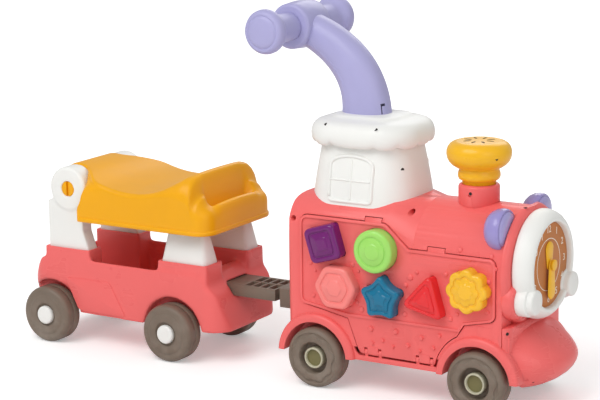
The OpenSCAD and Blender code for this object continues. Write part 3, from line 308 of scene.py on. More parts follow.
def end_in_finish(tree, spread, given, result):
    """Ends a tree: makes its instances real and gives them their finish."""
    real = add_node(tree, "GeometryNodeRealizeInstances", {"Geometry": spread.outputs["Instances"]})
    paint = add_node(tree, "GeometryNodeSetMaterial",
                     {"Geometry": real.outputs["Geometry"], "Material": given.outputs["Finish"]})
    feed(tree, result, {0: paint.outputs["Geometry"]})


def bump_tree(name, sides):
    """Geometry Nodes that stand one low bump on each point: a dome, or a pad with that many sides."""
    tree, given, result = new_group(
        name, [("Points", "Geometry", None), ("Rise", "Float", 0.0), ("Finish", "Material", None)],
        [("Bumps", "Geometry")], "GeometryNodeTree")
    if sides:
        bump = add_node(tree, "GeometryNodeMeshCone",
                        {"Vertices": sides, "Radius Top": 0.72, "Radius Bottom": 1.1, "Depth": 1.0})
    else:
        bump = add_node(tree, "GeometryNodeMeshUVSphere", {"Segments": 20, "Rings": 10, "Radius": 1.0})
    upright = add_node(tree, "GeometryNodeTransform",
                       {"Geometry": bump.outputs["Mesh"], "Rotation": (math.pi / 2, 0.0, 0.0)})
    named = add_node(tree, "GeometryNodeInputNamedAttribute", {"Name": "size"}, data_type="FLOAT")
    size = named.outputs["Attribute"]
    scale = add_node(tree, "ShaderNodeCombineXYZ", {"X": size, "Y": given.outputs["Rise"], "Z": size})
    spread = add_node(tree, "GeometryNodeInstanceOnPoints",
                      {"Points": given.outputs["Points"], "Instance": upright.outputs["Geometry"],
                       "Scale": scale.outputs["Vector"]})
    end_in_finish(tree, spread, given, result)
    return tree


def as_mesh(source):
    """The evaluated result of an object as a plain mesh; the object goes."""
    depsgraph = bpy.context.evaluated_depsgraph_get()
    mesh = bpy.data.meshes.new_from_object(source.evaluated_get(depsgraph))
    bpy.data.objects.remove(source)
    return mesh


def as_piece(source, name):
    """The evaluated result of an object as a plain mesh object of its own."""
    mesh = as_mesh(source)
    mesh.name = name
    return new_object(name, mesh)


def run_tree(tree, source, name, values):
    """Runs a tree of Geometry Nodes on an object, with values for its named inputs, and keeps the result."""
    spread = source.modifiers.new(name, "NODES")
    spread.node_group = tree
    for socket in tree.interface.items_tree:
        if socket.name in values:
            spread[socket.identifier] = values[socket.name]
    return as_piece(source, name)


def raise_bumps(name, places, sides, rise, material, body, slot):
    """Low bumps at places of the engine's right-hand skin, each as X, Z and radius in millimetres."""
    mesh = bpy.data.meshes.new(name)
    mesh.from_pydata([(x * MM, skin_y(z * MM), z * MM) for x, z, _ in places], [], [])
    mesh.attributes.new("size", "FLOAT", "POINT").data.foreach_set("value", [r * MM for _, _, r in places])
    source = new_object(name + "_points", mesh)
    piece = run_tree(bump_tree(name, sides), source, name, {"Rise": rise * MM, "Finish": material})
    if not sides:
        piece.data.shade_smooth()
    return mount(piece, body, slot)


DOOR_DOMES = [(62, 153, 3.2), (69, 144, 2.2), (121, 157, 3.4), (129, 150, 2.2), (193, 141, 3.0), (199, 151, 4.0),
              (208, 158, 2.4), (246, 160, 3.2), (66, 113, 3.0), (127, 112, 2.6), (133, 104, 3.6), (192, 106, 3.2),
              (252, 108, 3.4), (261, 115, 2.2), (300, 122, 2.4), (301, 158, 3.0)]
FOOT_PADS = [(146, 82, 3.6), (162, 70, 2.6), (180, 83, 3.8), (196, 68, 3.0), (214, 80, 3.4), (230, 70, 2.6),
             (238, 86, 2.8), (148, 65, 2.4), (176, 64, 2.2), (212, 64, 2.4)]
BOILER_DOMES = [(262, 190, 3.4), (276, 181, 2.6), (303, 187, 3.2), (310, 174, 2.4)]
raise_bumps("door_domes", DOOR_DOMES, 0, 2.0, coral, "sorter_door", "coral")
raise_bumps("boiler_domes", BOILER_DOMES, 0, 2.0, coral, "engine", "coral")
raise_bumps("door_foot_pads", FOOT_PADS, 6, 2.6, coral, "sorter_door", "coral")


# Sorter blocks
# Six loose blocks in glossy coloured plastic, one for each hole of the door. Their outer ends are rounded over and
# carry a sunk ring and a raised middle in the block's own outline.
def make_piece(name, points, faces, materials, body, slot, replaced=(), smooth=True, crisp=None):
    """A new mesh object in the train's frame that rides on a body and stands for solids of the frame.

    Edges sharper than the crisp angle, in degrees, stay sharp under smooth shading.
    """
    mesh = bpy.data.meshes.new(name)
    mesh.from_pydata([tuple(p) for p in points], [], faces)
    shape = bmesh.new()
    shape.from_mesh(mesh)
    bmesh.ops.remove_doubles(shape, verts=shape.verts, dist=1e-6)
    bmesh.ops.recalc_face_normals(shape, faces=shape.faces)
    shape.to_mesh(mesh)
    shape.free()
    for material in materials:
        mesh.materials.append(material)
    if smooth:
        mesh.shade_smooth()
    piece = mount(new_object(name, mesh), body, slot, *replaced)
    if crisp:
        piece.modifiers.new("crisp_edges", "EDGE_SPLIT").split_angle = math.radians(crisp)
    return piece


def loft(rings, close_start=True, close_end=True):
    """Points and faces of a skin over rings of equally many points, with fan-shaped ends."""
    count = len(rings[0])
    points = [p for ring in rings for p in ring]
    faces = [(r * count + i, r * count + (i + 1) % count, (r + 1) * count + (i + 1) % count, (r + 1) * count + i)
             for r in range(len(rings) - 1) for i in range(count)]
    for close, ring in ((close_start, 0), (close_end, len(rings) - 1)):
        if close:
            middle = sum((Vector(p) for p in rings[ring]), Vector()) / count
            faces += [(ring * count + i, ring * count + (i + 1) % count, len(points)) for i in range(count)]
            points.append(middle)
    return points, faces


def sheet_faces(rows, columns):
    """Faces of an open sheet of points that are laid out row by row."""
    return [(r * columns + i, r * columns + i + 1, (r + 1) * columns + i + 1, (r + 1) * columns + i)
            for r in range(rows - 1) for i in range(columns - 1)]


def add_part(points, faces, part):
    """Adds a lofted part to the points and faces of a piece."""
    more, sides = part
    faces += [tuple(i + len(points) for i in f) for f in sides]
    points += more


def round_corners(corners, fillet, steps=6):
    """A closed outline whose corners are eased over a length along both sides."""
    outline = []
    for i, corner in enumerate(corners):
        before, here, after = Vector(corners[i - 1]), Vector(corner), Vector(corners[(i + 1) % len(corners)])
        start = here + (before - here).normalized() * min(fillet, (before - here).length * 0.48)
        end = here + (after - here).normalized() * min(fillet, (after - here).length * 0.48)
        for k in range(steps + 1):
            t = k / steps
            outline.append(start * (1 - t) ** 2 + here * 2 * t * (1 - t) + end * t * t)
    return outline


def star_corners(points, outer, inner, turn=90.0):
    """Corners of a star, or of a plain polygon where the inner radius is left out."""
    count = points * 2 if inner else points
    return [Vector((math.cos(a), math.sin(a))) * (inner if inner and i % 2 else outer)
            for i in range(count) for a in [math.radians(turn + i * 360 / count)]]


def petal_outline(radius, petals=8, depth=0.14, steps=96):
    """A round outline with soft petals."""
    return [Vector((math.cos(a), math.sin(a))) * radius * (1 - depth + depth * abs(math.cos(a * petals / 2)))
            for i in range(steps) for a in [2 * math.pi * i / steps]]


def make_block(shape, outline, tint, slot):
    """A sorter block in its hole: its outline in millimetres, run from the inner end to the carved outer end."""
    low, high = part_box("block_" + shape)
    middle_x, middle_z = (low.x + high.x) / 2, (low.z + high.z) / 2
    back, front = high.y, low.y
    half = (high.x - low.x) / 2
    rim = 4.0 * MM
    steps = [(0.95, back), (0.99, back - 0.6 * MM), (1.0, back - 1.6 * MM)]
    for k in range(7):
        a = math.pi / 2 * k / 6
        steps.append((1 - rim * (1 - math.cos(a)) / half, front + rim * (1 - math.sin(a))))
    for share, sunk in ((0.74, 0), (0.72, 0.3), (0.705, 1.2), (0.64, 1.2), (0.625, 0.3), (0.605, 0), (0.4, 0),
                        (0.385, -0.2), (0.36, -0.9), (0.3, -1.2)):
        steps.append((share, front + sunk * MM))
    across, upright = [p.x for p in outline], [p.y for p in outline]
    fit = half * 2 / (max(across) - min(across))
    middle_x -= (max(across) + min(across)) / 2 * fit
    middle_z -= (max(upright) + min(upright)) / 2 * fit
    rings = [[(middle_x + p.x * fit * s, y, middle_z + p.y * fit * s) for p in outline] for s, y in steps]
    material = plastic("block_" + shape + "_plastic", tint, gloss=0.17, coat=0.3)
    make_piece("sorter_" + shape, *loft(rings), [material], "block_" + shape, slot, ["block_" + shape], crisp=50)


tilt = Matrix.Rotation(math.radians(17), 2)
square = [tilt @ Vector(c) for c in ((-21, -21), (21, -21), (21, 21), (-21, 21))]
make_block("square", round_corners(square, 8), srgb(112, 22, 108), "purple")
make_block("circle", petal_outline(26, depth=0.0), srgb(160, 222, 104), "green")
make_block("hexagon", round_corners(star_corners(6, 26, None, 0.0), 6), srgb(246, 132, 126), "pink")
make_block("star", round_corners(star_corners(5, 28, 17.5), 8), srgb(0, 112, 148), "blue")
make_block("triangle", round_corners(star_corners(3, 30, None, 77.0), 11), srgb(230, 44, 48), "red")
make_block("flower", petal_outline(28), srgb(246, 188, 42), "yellow")


# Wheels
# Four blow-moulded wheels in taupe under each vehicle. The engine's have a wavy raised face and a deep hub recess with
# a cup-shaped cap; the trailer's are plain and carry a white domed cap.
taupe = plastic("taupe_plastic", srgb(120, 106, 93), gloss=0.42, drift=0.06, grain=700.0, dust_top=0.08, dust=0.22)
cup_rim = plastic("cup_rim", srgb(188, 184, 160), gloss=0.3, coat=0.3)
cup_well = plastic("cup_well", srgb(118, 112, 74), gloss=0.5)
WELL_R = 10.3


def arc(centre, radius, start, end, steps):
    """Points of an arc in a profile's own plane, between two angles in degrees."""
    return [(centre[0] + radius * math.cos(a), centre[1] + radius * math.sin(a))
            for k in range(steps + 1) for a in [math.radians(start + (end - start) * k / steps)]]


def turned(profile, middle, along, steps=96, wave=None, closed=False):
    """Rings of a profile of radius and distance in millimetres, turned about an axis through a point."""
    along = Vector(along)
    side = Vector((0, 0, 1)) if abs(along.z) < 0.5 else Vector((1, 0, 0))
    other = along.cross(side)
    rings = []
    for row, (radius, reach) in enumerate(profile):
        ring = []
        for i in range(steps):
            a = 2 * math.pi * i / steps
            r = radius + (wave(row, a) if wave else 0.0)
            ring.append(Vector(middle) + (side * math.cos(a) + other * math.sin(a)) * r * MM + along * reach * MM)
        rings.append(ring)
    return rings + rings[:1] if closed else rings


def make_wheel(node, body, side, deep):
    """A wheel as a ring about its axle; the profile's distances count inwards from its outer face."""
    low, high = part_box(node)
    middle = ((low.x + high.x) / 2, high.y if side > 0 else low.y, (low.z + high.z) / 2)
    face = [(4.3, 12.0), (16.0, 12.0), (18.2, 11.6), (19.2, 10.4), (19.4, 2.2), (20.0, 0.8), (21.4, 0.1)] if deep else \
           [(4.3, 3.0), (13.4, 3.0), (14.6, 2.6), (15.0, 1.6), (15.4, 0.5), (16.6, 0.0)]
    inner_rows = len(face)
    if deep:
        face += [(26.4, 0.0), (27.4, 0.15), (28.0, 0.7), (28.4, 1.5), (29.2, 1.75), (30.4, 1.75)]
    else:
        face += [(24.0, 0.0), (25.2, 0.25), (26.0, 0.8), (27.0, 0.9), (29.0, 0.6)]
    tread = arc((30.2, 7.0), 6.8, -74, 0, 8) + [(37.0, 9.5), (37.0, 14.4), (36.6, 14.9), (36.6, 15.4), (37.0, 15.9),
                                               (37.0, 23.0)]
    back = arc((30.0, 23.0), 7.0, 0, 90, 7) + [(22.0, 30.0), (20.0, 28.0), (9.0, 28.0), (8.0, 30.0), (4.3, 30.0)]
    profile = face + tread + back

    def wave(row, a):
        wavy = deep and inner_rows + 1 <= row < inner_rows + 5
        return 1.5 * math.cos(a * 9) + 0.5 * math.cos(a * 4 + 1.0) if wavy else 0.0

    rings = turned(profile, middle, (0, -side, 0), 144, wave, closed=True)
    make_piece("rolled_" + node, *loft(rings, False, False), [taupe], body, "taupe", [node], crisp=55)


def make_cup(node, body):
    """The two cup-shaped caps of an engine axle: a pale rim round a dark well."""
    low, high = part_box(node)
    points, faces = [], []
    for side, outer in ((-1, low.y), (1, high.y)):
        middle = ((low.x + high.x) / 2, outer, (low.z + high.z) / 2)
        profile = [(0.01, 10.0), (12.6, 10.0), (13.0, 9.0), (13.0, 2.2)] + arc((11.6, 1.4), 1.4, 0, -90, 4)
        profile += arc((11.4, 0.9), 0.9, -90, -180, 3) + [(10.4, 3.2), (10.0, 3.8), (4.6, 4.2), (0.01, 4.3)]
        add_part(points, faces, loft(turned(profile, middle, (0, -side, 0), 72)))
    piece = make_piece("cups_" + node, points, faces, [cup_rim, cup_well], body, "cap", [node], crisp=50)
    for polygon in piece.data.polygons:
        middle = polygon.center
        reach = math.hypot(middle.x - (low.x + high.x) / 2, middle.z - (low.z + high.z) / 2)
        polygon.material_index = 1 if reach < WELL_R * MM else 0


for vehicle in ("engine", "trailer"):
    for end in ("rear", "front"):
        for hand, side in (("right", -1), ("left", 1)):
            make_wheel(f"{vehicle}_wheel_{end}_{hand}", f"{vehicle}_{end}_wheelset", side, vehicle == "engine")
        if vehicle == "engine":
            make_cup(f"engine_caps_{end}", f"engine_{end}_wheelset")


# Cab
# A white moulded box that narrows upwards and sits astride the boiler's shoulder. A raised arched frame with plain
# cross bars stands for a window on each side, and a screw sits in a small hole at each front corner; the hole's dark
# bottom is painted shade.
white = plastic("white_plastic", srgb(238, 238, 234), gloss=0.4, drift=0.02, grain=1100.0)
# Flat dark colour for the bottoms of the screw holes: painted shade, as the holes are drawn without depth.
hole_painted_shade = plastic("screw_hole", srgb(38, 34, 32), gloss=0.6)


def rounded_box(half_x, half_y, radius, steps=10):
    """Points of a rounded rectangle about its middle, anticlockwise, with eased corners."""
    points = []
    for corner, (sx, sy) in enumerate(((1, 1), (-1, 1), (-1, -1), (1, -1))):
        start = corner * 90.0
        points += arc((sx * (half_x - radius), sy * (half_y - radius)), radius, start, start + 90, steps)
        a, b = points[-1], ((half_x - radius) * (-1, -1, 1, 1)[corner], (half_y - radius) * (1, -1, -1, 1)[corner])
        end = ((b[0], a[1]) if corner in (0, 2) else (a[0], b[1]))
        points += [(a[0] + (end[0] - a[0]) * k / 8, a[1] + (end[1] - a[1]) * k / 8) for k in range(1, 8)]
    return points


def smooth_step(low, high, value):
    """Runs smoothly from 0 to 1 as a value goes from low to high."""
    t = min(1.0, max(0.0, (value - low) / (high - low)))
    return t * t * (3 - 2 * t)


CAB_X, CAB_LOW, CAB_NECK = 110.0, 205.0, 299.0
CAB_FOOT, CAB_RISE, CAB_HALF_X, CAB_HALF_Y, CAB_TAPER, CAB_SWELL, CAB_ROUND = 197.0, 91.0, 72.0, 61.0, 12.5, 1.2, 0.74


def cab_half(z):
    """Half length, half width and corner radius of the cab's plan at a height."""
    t = (z - CAB_FOOT) / CAB_RISE
    drawn_in = CAB_TAPER * t - CAB_SWELL * math.sin(math.pi * min(1.0, max(0.0, t)))
    half_w = CAB_HALF_Y - drawn_in
    return CAB_HALF_X - drawn_in, half_w, half_w * CAB_ROUND


def make_cab():
    """The cab's skin: rings up its sides, and a flat top under the roof."""
    rings = []
    levels = [(0.0, CAB_LOW + 2.3 * k) for k in range(41)] + [(1.0, CAB_NECK - 1.0), (2.2, CAB_NECK)]
    for shrink, z in levels:
        half_x, half_y, radius = cab_half(z)
        rings.append([((CAB_X + x) * MM, y * MM, z * MM)
                      for x, y in rounded_box(half_x - shrink, half_y - shrink, radius - shrink)])
    make_piece("cab_walls", *loft(rings), [white], "engine", "white", ["cab_body"])


def way_along(line, i):
    """Direction of a line of places at one of them, from the neighbours on both sides."""
    before, after = line[max(0, i - 1)], line[min(len(line) - 1, i + 1)]
    return Vector((after[0] - before[0], after[1] - before[1])).normalized()


def window_bar(line, half, rise, side):
    """A rounded bar that follows a line of X and Z places over the cab's side."""
    sunk, steps, blunt = 1.0, 12, 0.8
    rings = []
    for i, (x, z) in enumerate(line):
        along = way_along(line, i)
        across = Vector((-along.y, along.x))
        ring = []
        for k in range(steps + 1):
            a = math.pi * k / steps
            px, pz = x + across.x * half * math.cos(a), z + across.y * half * math.cos(a)
            out = cab_half(pz)[1] - sunk + (rise + sunk) * math.sin(a) ** blunt
            ring.append(((CAB_X + px) * MM, side * out * MM, pz * MM))
        rings.append(ring)
    return loft(rings)


def make_windows():
    """A window on each side: an arched frame, a sill, and a plain cross of glazing bars."""
    low, spring, half, crown, corner, bar_z = 230.0, 270.0, 29.0, 284.0, 4, 255.0
    upright = spring - low - corner
    frame_line = [(-half, low + corner)] + [(-half, low + corner + upright * k / 8) for k in range(1, 9)]
    frame_line += [(-half * math.cos(math.pi * k / 20), spring + (crown - spring) * math.sin(math.pi * k / 20) ** 0.75)
                   for k in range(1, 20)]
    frame_line += [(half, spring - upright * k / 8) for k in range(9)]
    frame_line += [(half - 1.2, low + 1.2), (half - corner, low)]
    frame_line += [(half - corner - (half - corner) * 2 * k / 10, low) for k in range(1, 11)]
    frame_line += [(-half + 1.2, low + 1.2), (-half, low + corner)]
    bars = [(frame_line, 2.3, 2.0), ([(0, low + 1 + (crown - low - 2) * k / 10) for k in range(11)], 1.4, 1.2),
            ([(-half + 1 + (half * 2 - 2) * k / 10, bar_z) for k in range(11)], 1.4, 1.2)]
    points, faces = [], []
    for side in (-1, 1):
        for line, width, rise in bars:
            add_part(points, faces, window_bar(line, width, rise, side))
    make_piece("cab_windows", points, faces, [white], "engine", "white")


make_cab()
make_windows()


# Cab roof
# A puffed white cap like icing, with broad uneven lobes along its lower edge and a low step round the handle's foot.
# It is clipped over the cab and held by two screws on each side.
LOBE_ENDS = (0.0, 0.075, 0.19, 0.285, 0.36, 0.455, 0.545, 0.66, 0.74, 0.83, 0.915, 1.0)
LOBE_START, LOBE_PUFF, LOBE_LIFT, LOBE_HANG, LOBE_BLUNT = 0.06, 0.016, 1.6, 4.6, 0.55
ROOF_HALF_X, ROOF_HALF_Y, ROOF_ROUND, ROOF_ROUND_LEAST = 59, 48, 35, 4.0


def lobe(share):
    """How far a lobe hangs down at a share of the way round, from 0 between two lobes to 1 at its middle."""
    for start, end in zip(LOBE_ENDS, LOBE_ENDS[1:]):
        if start <= share <= end:
            u = (share - start) / (end - start)
            return (4 * u * (1 - u)) ** LOBE_BLUNT
    return 0.0


def make_roof():
    """Rings from under the rim, round the bulge and up to the flat top."""
    rows = [(0.0, 299.0, 0.0), (2.0, 297.4, 0.6), (5.0, 296.6, 1.0), (7.6, 297.4, 0.95), (9.8, 299.6, 0.8),
            (11.4, 303.0, 0.5), (12.0, 307.0, 0.25), (11.6, 311.4, 0.1), (10.2, 315.4, 0.0), (7.8, 318.8, 0.0),
            (4.4, 321.6, 0.0), (0.0, 323.2, 0.0), (-5.0, 324.2, 0.0), (-10.0, 325.0, 0.0), (-13.0, 326.0, 0.0),
            (-15.0, 327.6, 0.0), (-17.0, 328.6, 0.0), (-20.0, 329.0, 0.0), (-28.0, 329.2, 0.0)]
    rings = []
    for grow, z, hang in rows:
        outline = rounded_box(ROOF_HALF_X + grow, ROOF_HALF_Y + grow, max(ROOF_ROUND_LEAST, ROOF_ROUND + grow), 24)
        count = len(outline)
        ring = []
        for i, (x, y) in enumerate(outline):
            low = lobe((i / count + LOBE_START) % 1.0) * hang
            puff = 1 + LOBE_PUFF * low
            height = z + LOBE_LIFT * hang - LOBE_HANG * low
            ring.append(((CAB_X + x * puff) * MM, y * puff * MM, height * MM))
        rings.append(ring)
    make_piece("icing_roof", *loft(rings), [white], "engine", "white", ["cab_roof"])


def screw_holes(name, places, rim, body, slot):
    """Small screw holes: a moulded rim round a flat dark disc that is painted shade for the hole, each given by a
    place, the way it faces and a radius.
    """
    steps = 24
    points, faces, dark = [], [], []
    for place, facing, radius in places:
        profile = [(radius * 1.35, -0.6), (radius * 1.3, 0.15), (radius * 1.12, 0.28), (radius, 0.12)]
        rings = turned(profile, Vector(place) * MM, Vector(facing).normalized(), steps)
        add_part(points, faces, loft(rings, False, True))
        dark += [0] * (steps * (len(profile) - 1)) + [1] * steps
    piece = make_piece(name, points, faces, [rim, hole_painted_shade], body, slot)
    piece.data.polygons.foreach_set("material_index", dark)


make_roof()
cab_holes = []
for side in (-1, 1):
    cab_holes += [((76.1, side * 53.0, 320.1), (-0.144, side * 0.619, 0.772), 2.2),
                  ((145.2, side * 53.8, 319.2), (0.185, side * 0.609, 0.772), 2.2),
                  ((168.0, side * 31.8, 269.4), (0.838, side * 0.514, 0.185), 2.3)]
screw_holes("cab_screw_holes", cab_holes, white, "engine", "white")


# Engine nose
# The low front below the clock, moulded in one with the shells: a plump, sloping bumper that rounds under to a chin.
# It is open behind round the wheels' arches, and a shoulder closes the boiler's wall above it.
NOSE_LEVELS = [(28.6, 337.0, 58.0), (29.4, 344.0, 62.0), (31.4, 351.0, 66.0), (34.8, 357.6, 69.2), (39.2, 363.4, 71.4),
               (44.4, 368.0, 72.6), (50.0, 371.2, 73.2), (55.0, 372.8, 73.4), (60.0, 372.4, 73.2), (65.0, 370.0, 72.8),
               (70.0, 366.0, 72.0), (75.0, 361.0, 70.8), (80.0, 355.2, 69.2), (85.0, 348.8, 66.8), (89.0, 343.0, 64.0),
               (92.5, 337.4, 60.6), (95.0, 332.4, 56.8), (96.8, 328.0, 52.4), (97.6, 324.5, 47.6)]
NOSE_BLUNT, NOSE_REAR, ARCH_R, ARCH_IN = 2.3, 319.0, 45.6, 47.0
SHOULDER_LOW, SHOULDER_TOP = 70.0, 105.0
SHOULDER_LEVELS = [(319.0, 71.3), (320.5, 71.1), (322.0, 70.5), (323.5, 69.2), (325.0, 67.2), (326.2, 65.0),
                   (327.0, 62.6), (327.5, 59.0)]


def nose_outline(z, tip, half):
    """One level of the nose in plan: its rounded front, and behind it the steps round both wheels' arches."""
    root = AXLE_X / MM
    reach = math.sqrt(max(0.0, ARCH_R ** 2 - (z - AXLE_Z / MM) ** 2))
    rear = max(NOSE_REAR, root + reach)
    start = math.acos(((rear - root) / (tip - root)) ** (NOSE_BLUNT / 2))
    steps = 72
    front = []
    for i in range(steps + 1):
        a = start * (2 * i / steps - 1)
        side = math.copysign(abs(math.sin(a)) ** (2 / NOSE_BLUNT), a)
        front.append((root + (tip - root) * math.cos(a) ** (2 / NOSE_BLUNT), half * side))
    inner = min(ARCH_IN, front[-1][1] - 0.5)
    return front + [(rear, inner), (NOSE_REAR, inner), (NOSE_REAR, -inner), (rear, -inner)]


def make_nose():
    """The nose from its chin up, and the shoulder behind it."""
    rings = [[(x * MM, y * MM, z * MM) for x, y in nose_outline(z, tip, half)] for z, tip, half in NOSE_LEVELS]
    points, faces = loft(rings)
    shoulder = []
    for x, half in SHOULDER_LEVELS:
        outline = round_corners([(-half, SHOULDER_LOW), (half, SHOULDER_LOW), (half, SHOULDER_TOP),
                                 (-half, SHOULDER_TOP)], 1.0)
        shoulder.append([(x * MM, p.x * MM, p.y * MM) for p in outline])
    add_part(points, faces, loft(shoulder))
    make_piece("rounded_nose", points, faces, [coral], "engine", "coral", crisp=60)


def make_sill():
    """A strip behind the gap under the sorter door, which hides the hollow inside."""
    rear, front, low, high = 124.0, 242.0, 43.0, 60.0
    rings = []
    for y, inset in ((-63.4, 0.6), (-63.2, 0.0), (-61.6, 0.0), (-61.4, 0.6)):
        outline = round_corners([(rear + inset, low + inset), (front - inset, low + inset),
                                 (front - inset, high - inset), (rear + inset, high - inset)], 2.0)
        rings.append([(p.x * MM, y * MM, p.y * MM) for p in outline])
    make_piece("door_sill_strip", *loft(rings), [coral], "engine", "coral")


make_nose()
make_sill()
screw_holes("shell_screw_holes", [((321.5, -17.4, 236.2), (0.44, -0.22, 0.88), 2.3),
                                  ((324.2, -68.4, 99.0), (0.75, -0.66, 0.0), 2.0),
                                  ((254.2, -24.5, 247.5), (0.05, -1.0, 0.0), 2.0),
                                  ((348.0, -49.2, 41.6), (0.68, -0.66, -0.32), 2.2)], coral, "engine", "coral")


# Push handle
# A hollow lavender arm that rises from the roof and bends back to a barrel hub with two grips. It is moulded in two
# halves, so a fine seam runs up each side; a snap catch shows at its foot.
lavender = plastic("lavender_plastic", srgb(172, 169, 211), gloss=0.34, drift=0.03, grain=1000.0)
# A darkened lavender: painted shade for the gap round the snap catch.
lavender_painted_shade = plastic("catch_gap_painted_shade", srgb(48, 44, 66), gloss=0.6)
ARM_FOOT, ARM_BEND, ARM_HEAD = Vector((102, 0, 326)), Vector((102, 0, 399)), Vector((10, 0, 430))
HUB = (0.010, 0.0, 0.430)


def arm_frame(t):
    """Middle of the arm, its direction and its two half sizes at a share of its length, in millimetres."""
    foot_half, foot_half_w, head_half = 31, 23, 20
    middle = ARM_FOOT * (1 - t) ** 2 + ARM_BEND * 2 * t * (1 - t) + ARM_HEAD * t * t
    along = ((ARM_BEND - ARM_FOOT) * (1 - t) + (ARM_HEAD - ARM_BEND) * t).normalized()
    return middle, along, foot_half + (head_half - foot_half) * t, foot_half_w + (head_half - foot_half_w) * t


def arm_point(t, a, lift=0.0):
    """A place on the arm's skin at an angle round it; 0 is in front and 90 degrees is its left side."""
    middle, along, half, half_w = arm_frame(t)
    across = Vector((along.z, 0, -along.x))
    soft = 0.86
    u = math.copysign(abs(math.cos(a)) ** soft, math.cos(a))
    v = math.copysign(abs(math.sin(a)) ** soft, math.sin(a))
    return (middle + across * (half + lift) * u + Vector((0, (half_w + lift) * v, 0))) * MM


def make_arm():
    """The bent arm, with the seam sunk into both sides, and the barrel of its hub."""
    rings = []
    seam, seam_half, seam_depth, seam_end, steps, length = math.radians(112), 0.03, 0.45, 0.86, 72, 48
    seams = (seam, 2 * math.pi - seam)
    angles = [2 * math.pi * i / steps for i in range(steps)]
    for side in seams:
        angles += [side - seam_half, side, side + seam_half]
    angles.sort()
    for k in range(length + 1):
        t = k / length
        sunk = 0.0 if t > seam_end else seam_depth
        rings.append([arm_point(t, a, -sunk if a in seams else 0.0) for a in angles])
    points, faces = loft(rings)
    hub = [(0.01, -26.5)] + arc((23, -21.5), 5, -90, -20, 6) + [(28.2, -14), (28.8, -7), (29, 0), (28.8, 7), (28.2, 14)]
    hub += arc((23, 21.5), 5, 20, 90, 6) + [(0.01, 26.5)]
    add_part(points, faces, loft(turned(hub, HUB, (0, 1, 0), 96)))
    make_piece("push_arm", points, faces, [lavender], "engine", "lavender", ["handle_arm"], crisp=60)


def make_grip(node, side):
    """One grip: a plain bar that flares into a round end stop with a raised, domed face."""
    profile = [(17.0, 24.0), (17.3, 30.0), (17.5, 45.0), (17.5, 60.0), (18.2, 64.5), (20.2, 68.0), (23.2, 70.6)]
    profile += [(25.4, 72.6), (26.6, 75.4), (26.9, 79.0), (26.4, 82.6), (24.8, 85.6), (22.6, 87.2), (20.6, 87.6)]
    profile += [(19.9, 87.0), (19.4, 87.0), (18.8, 87.8), (16.0, 88.9), (11.0, 89.7), (5.0, 90.0), (0.01, 90.0)]
    make_piece("end_" + node, *loft(turned(profile, HUB, (0, side, 0), 96)), [lavender], "engine", "lavender", [node])


def make_catch():
    """The snap catch at the arm's foot: a small tongue on a dark sheet, which is painted shade for the gap above and
    beside it.
    """
    cells = 8
    row = cells + 1
    points, faces, dark = [], [], []
    for index, (low, high, start, end, lift) in enumerate(((0.01, 0.1, -32, -12, 0.12), (0.01, 0.08, -28, -12, 0.5))):
        grid = [arm_point(low + (high - low) * i / cells, math.radians(start + (end - start) * j / cells),
                          -1.0 if i in (0, cells) or j in (0, cells) else lift)
                for i in range(row) for j in range(row)]
        sides = sheet_faces(row, row)
        corners = (0, cells, row * row - 1, row * cells)
        sides.append(tuple(corner + step * k for corner, step in zip(corners, (1, row, -1, -row))
                           for k in range(cells)))
        add_part(points, faces, (grid, sides))
        dark += [1 - index] * len(sides)
    piece = make_piece("arm_catch", points, faces, [lavender, lavender_painted_shade], "engine", "lavender", crisp=40)
    piece.data.polygons.foreach_set("material_index", dark)


make_arm()
make_grip("handle_grip_right", -1)
make_grip("handle_grip_left", 1)
make_catch()


# Chimney and horn
# A short coral chimney on the boiler, and in it the yellow horn: a mushroom-shaped squeeze knob on a rounded collar
# that is pushed down against rubber bellows. Sound slots open in the knob's top; they are drawn as flat dark bars,
# painted shade for the openings.
dress("chimney", coral, 0.8)
rubber = plastic("bellows_rubber", srgb(70, 66, 66), gloss=0.65, grain=500.0)
yellow = plastic("yellow_plastic", srgb(246, 186, 32), gloss=0.32, drift=0.03, coat=0.12)
# A darkened yellow: painted shade for the openings of the sound slots.
slot_painted_shade = plastic("sound_slot", srgb(92, 66, 18), gloss=0.6)
HORN = (0.253, 0.0, 0.0)
BELLOWS_LOW, BELLOWS_TOP, BELLOWS_FOLDS = 237.0, 244.0, 3


def make_horn():
    """The knob turned in one piece: stem, collar and cap."""
    profile = [(0.01, 244.1), (19.4, 244.1), (19.9, 244.7), (19.9, 260.3), (21.8, 260.6), (23.8, 261.8), (24.9, 264.0),
               (25.2, 266.6), (24.8, 269.4), (23.9, 271.8), (23.4, 273.0), (24.2, 274.2), (28.0, 276.0),
               (32.0, 278.6), (35.4, 282.2), (37.6, 286.6), (38.5, 291.2), (38.3, 295.6), (36.9, 299.8),
               (34.4, 303.0), (31.0, 305.2), (27.0, 306.4), (25.0, 306.7), (24.0, 306.5), (22.0, 306.7), (0.01, 307.0)]
    rings = turned(profile, HORN, (0, 0, 1), 128)
    make_piece("horn_mushroom", *loft(rings), [yellow], "horn_knob", "yellow", ["horn_knob"])


def make_bellows():
    """The rubber bellows under the stem, folded like a concertina, on a mesh of their own."""
    profile = [(0.01, BELLOWS_LOW), (11.6, BELLOWS_LOW)]
    for fold in range(BELLOWS_FOLDS):
        foot = BELLOWS_LOW + fold * (BELLOWS_TOP - BELLOWS_LOW) / BELLOWS_FOLDS
        profile += [(12.0, foot + 0.1), (13.6, foot + 0.7), (14.0, foot + 1.17), (13.6, foot + 1.64),
                    (12.0, foot + 2.24)]
    profile += [(11.6, BELLOWS_TOP), (0.01, BELLOWS_TOP)]
    rings = turned(profile, HORN, (0, 0, 1), 64)
    piece = make_piece("soft_bellows", *loft(rings), [rubber], "engine", "bellows", ["horn_bellows"])
    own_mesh(piece)


SLOT_Z, SLOT_HALF = 0.3068, (0.0052, 0.0016, 0.0005)


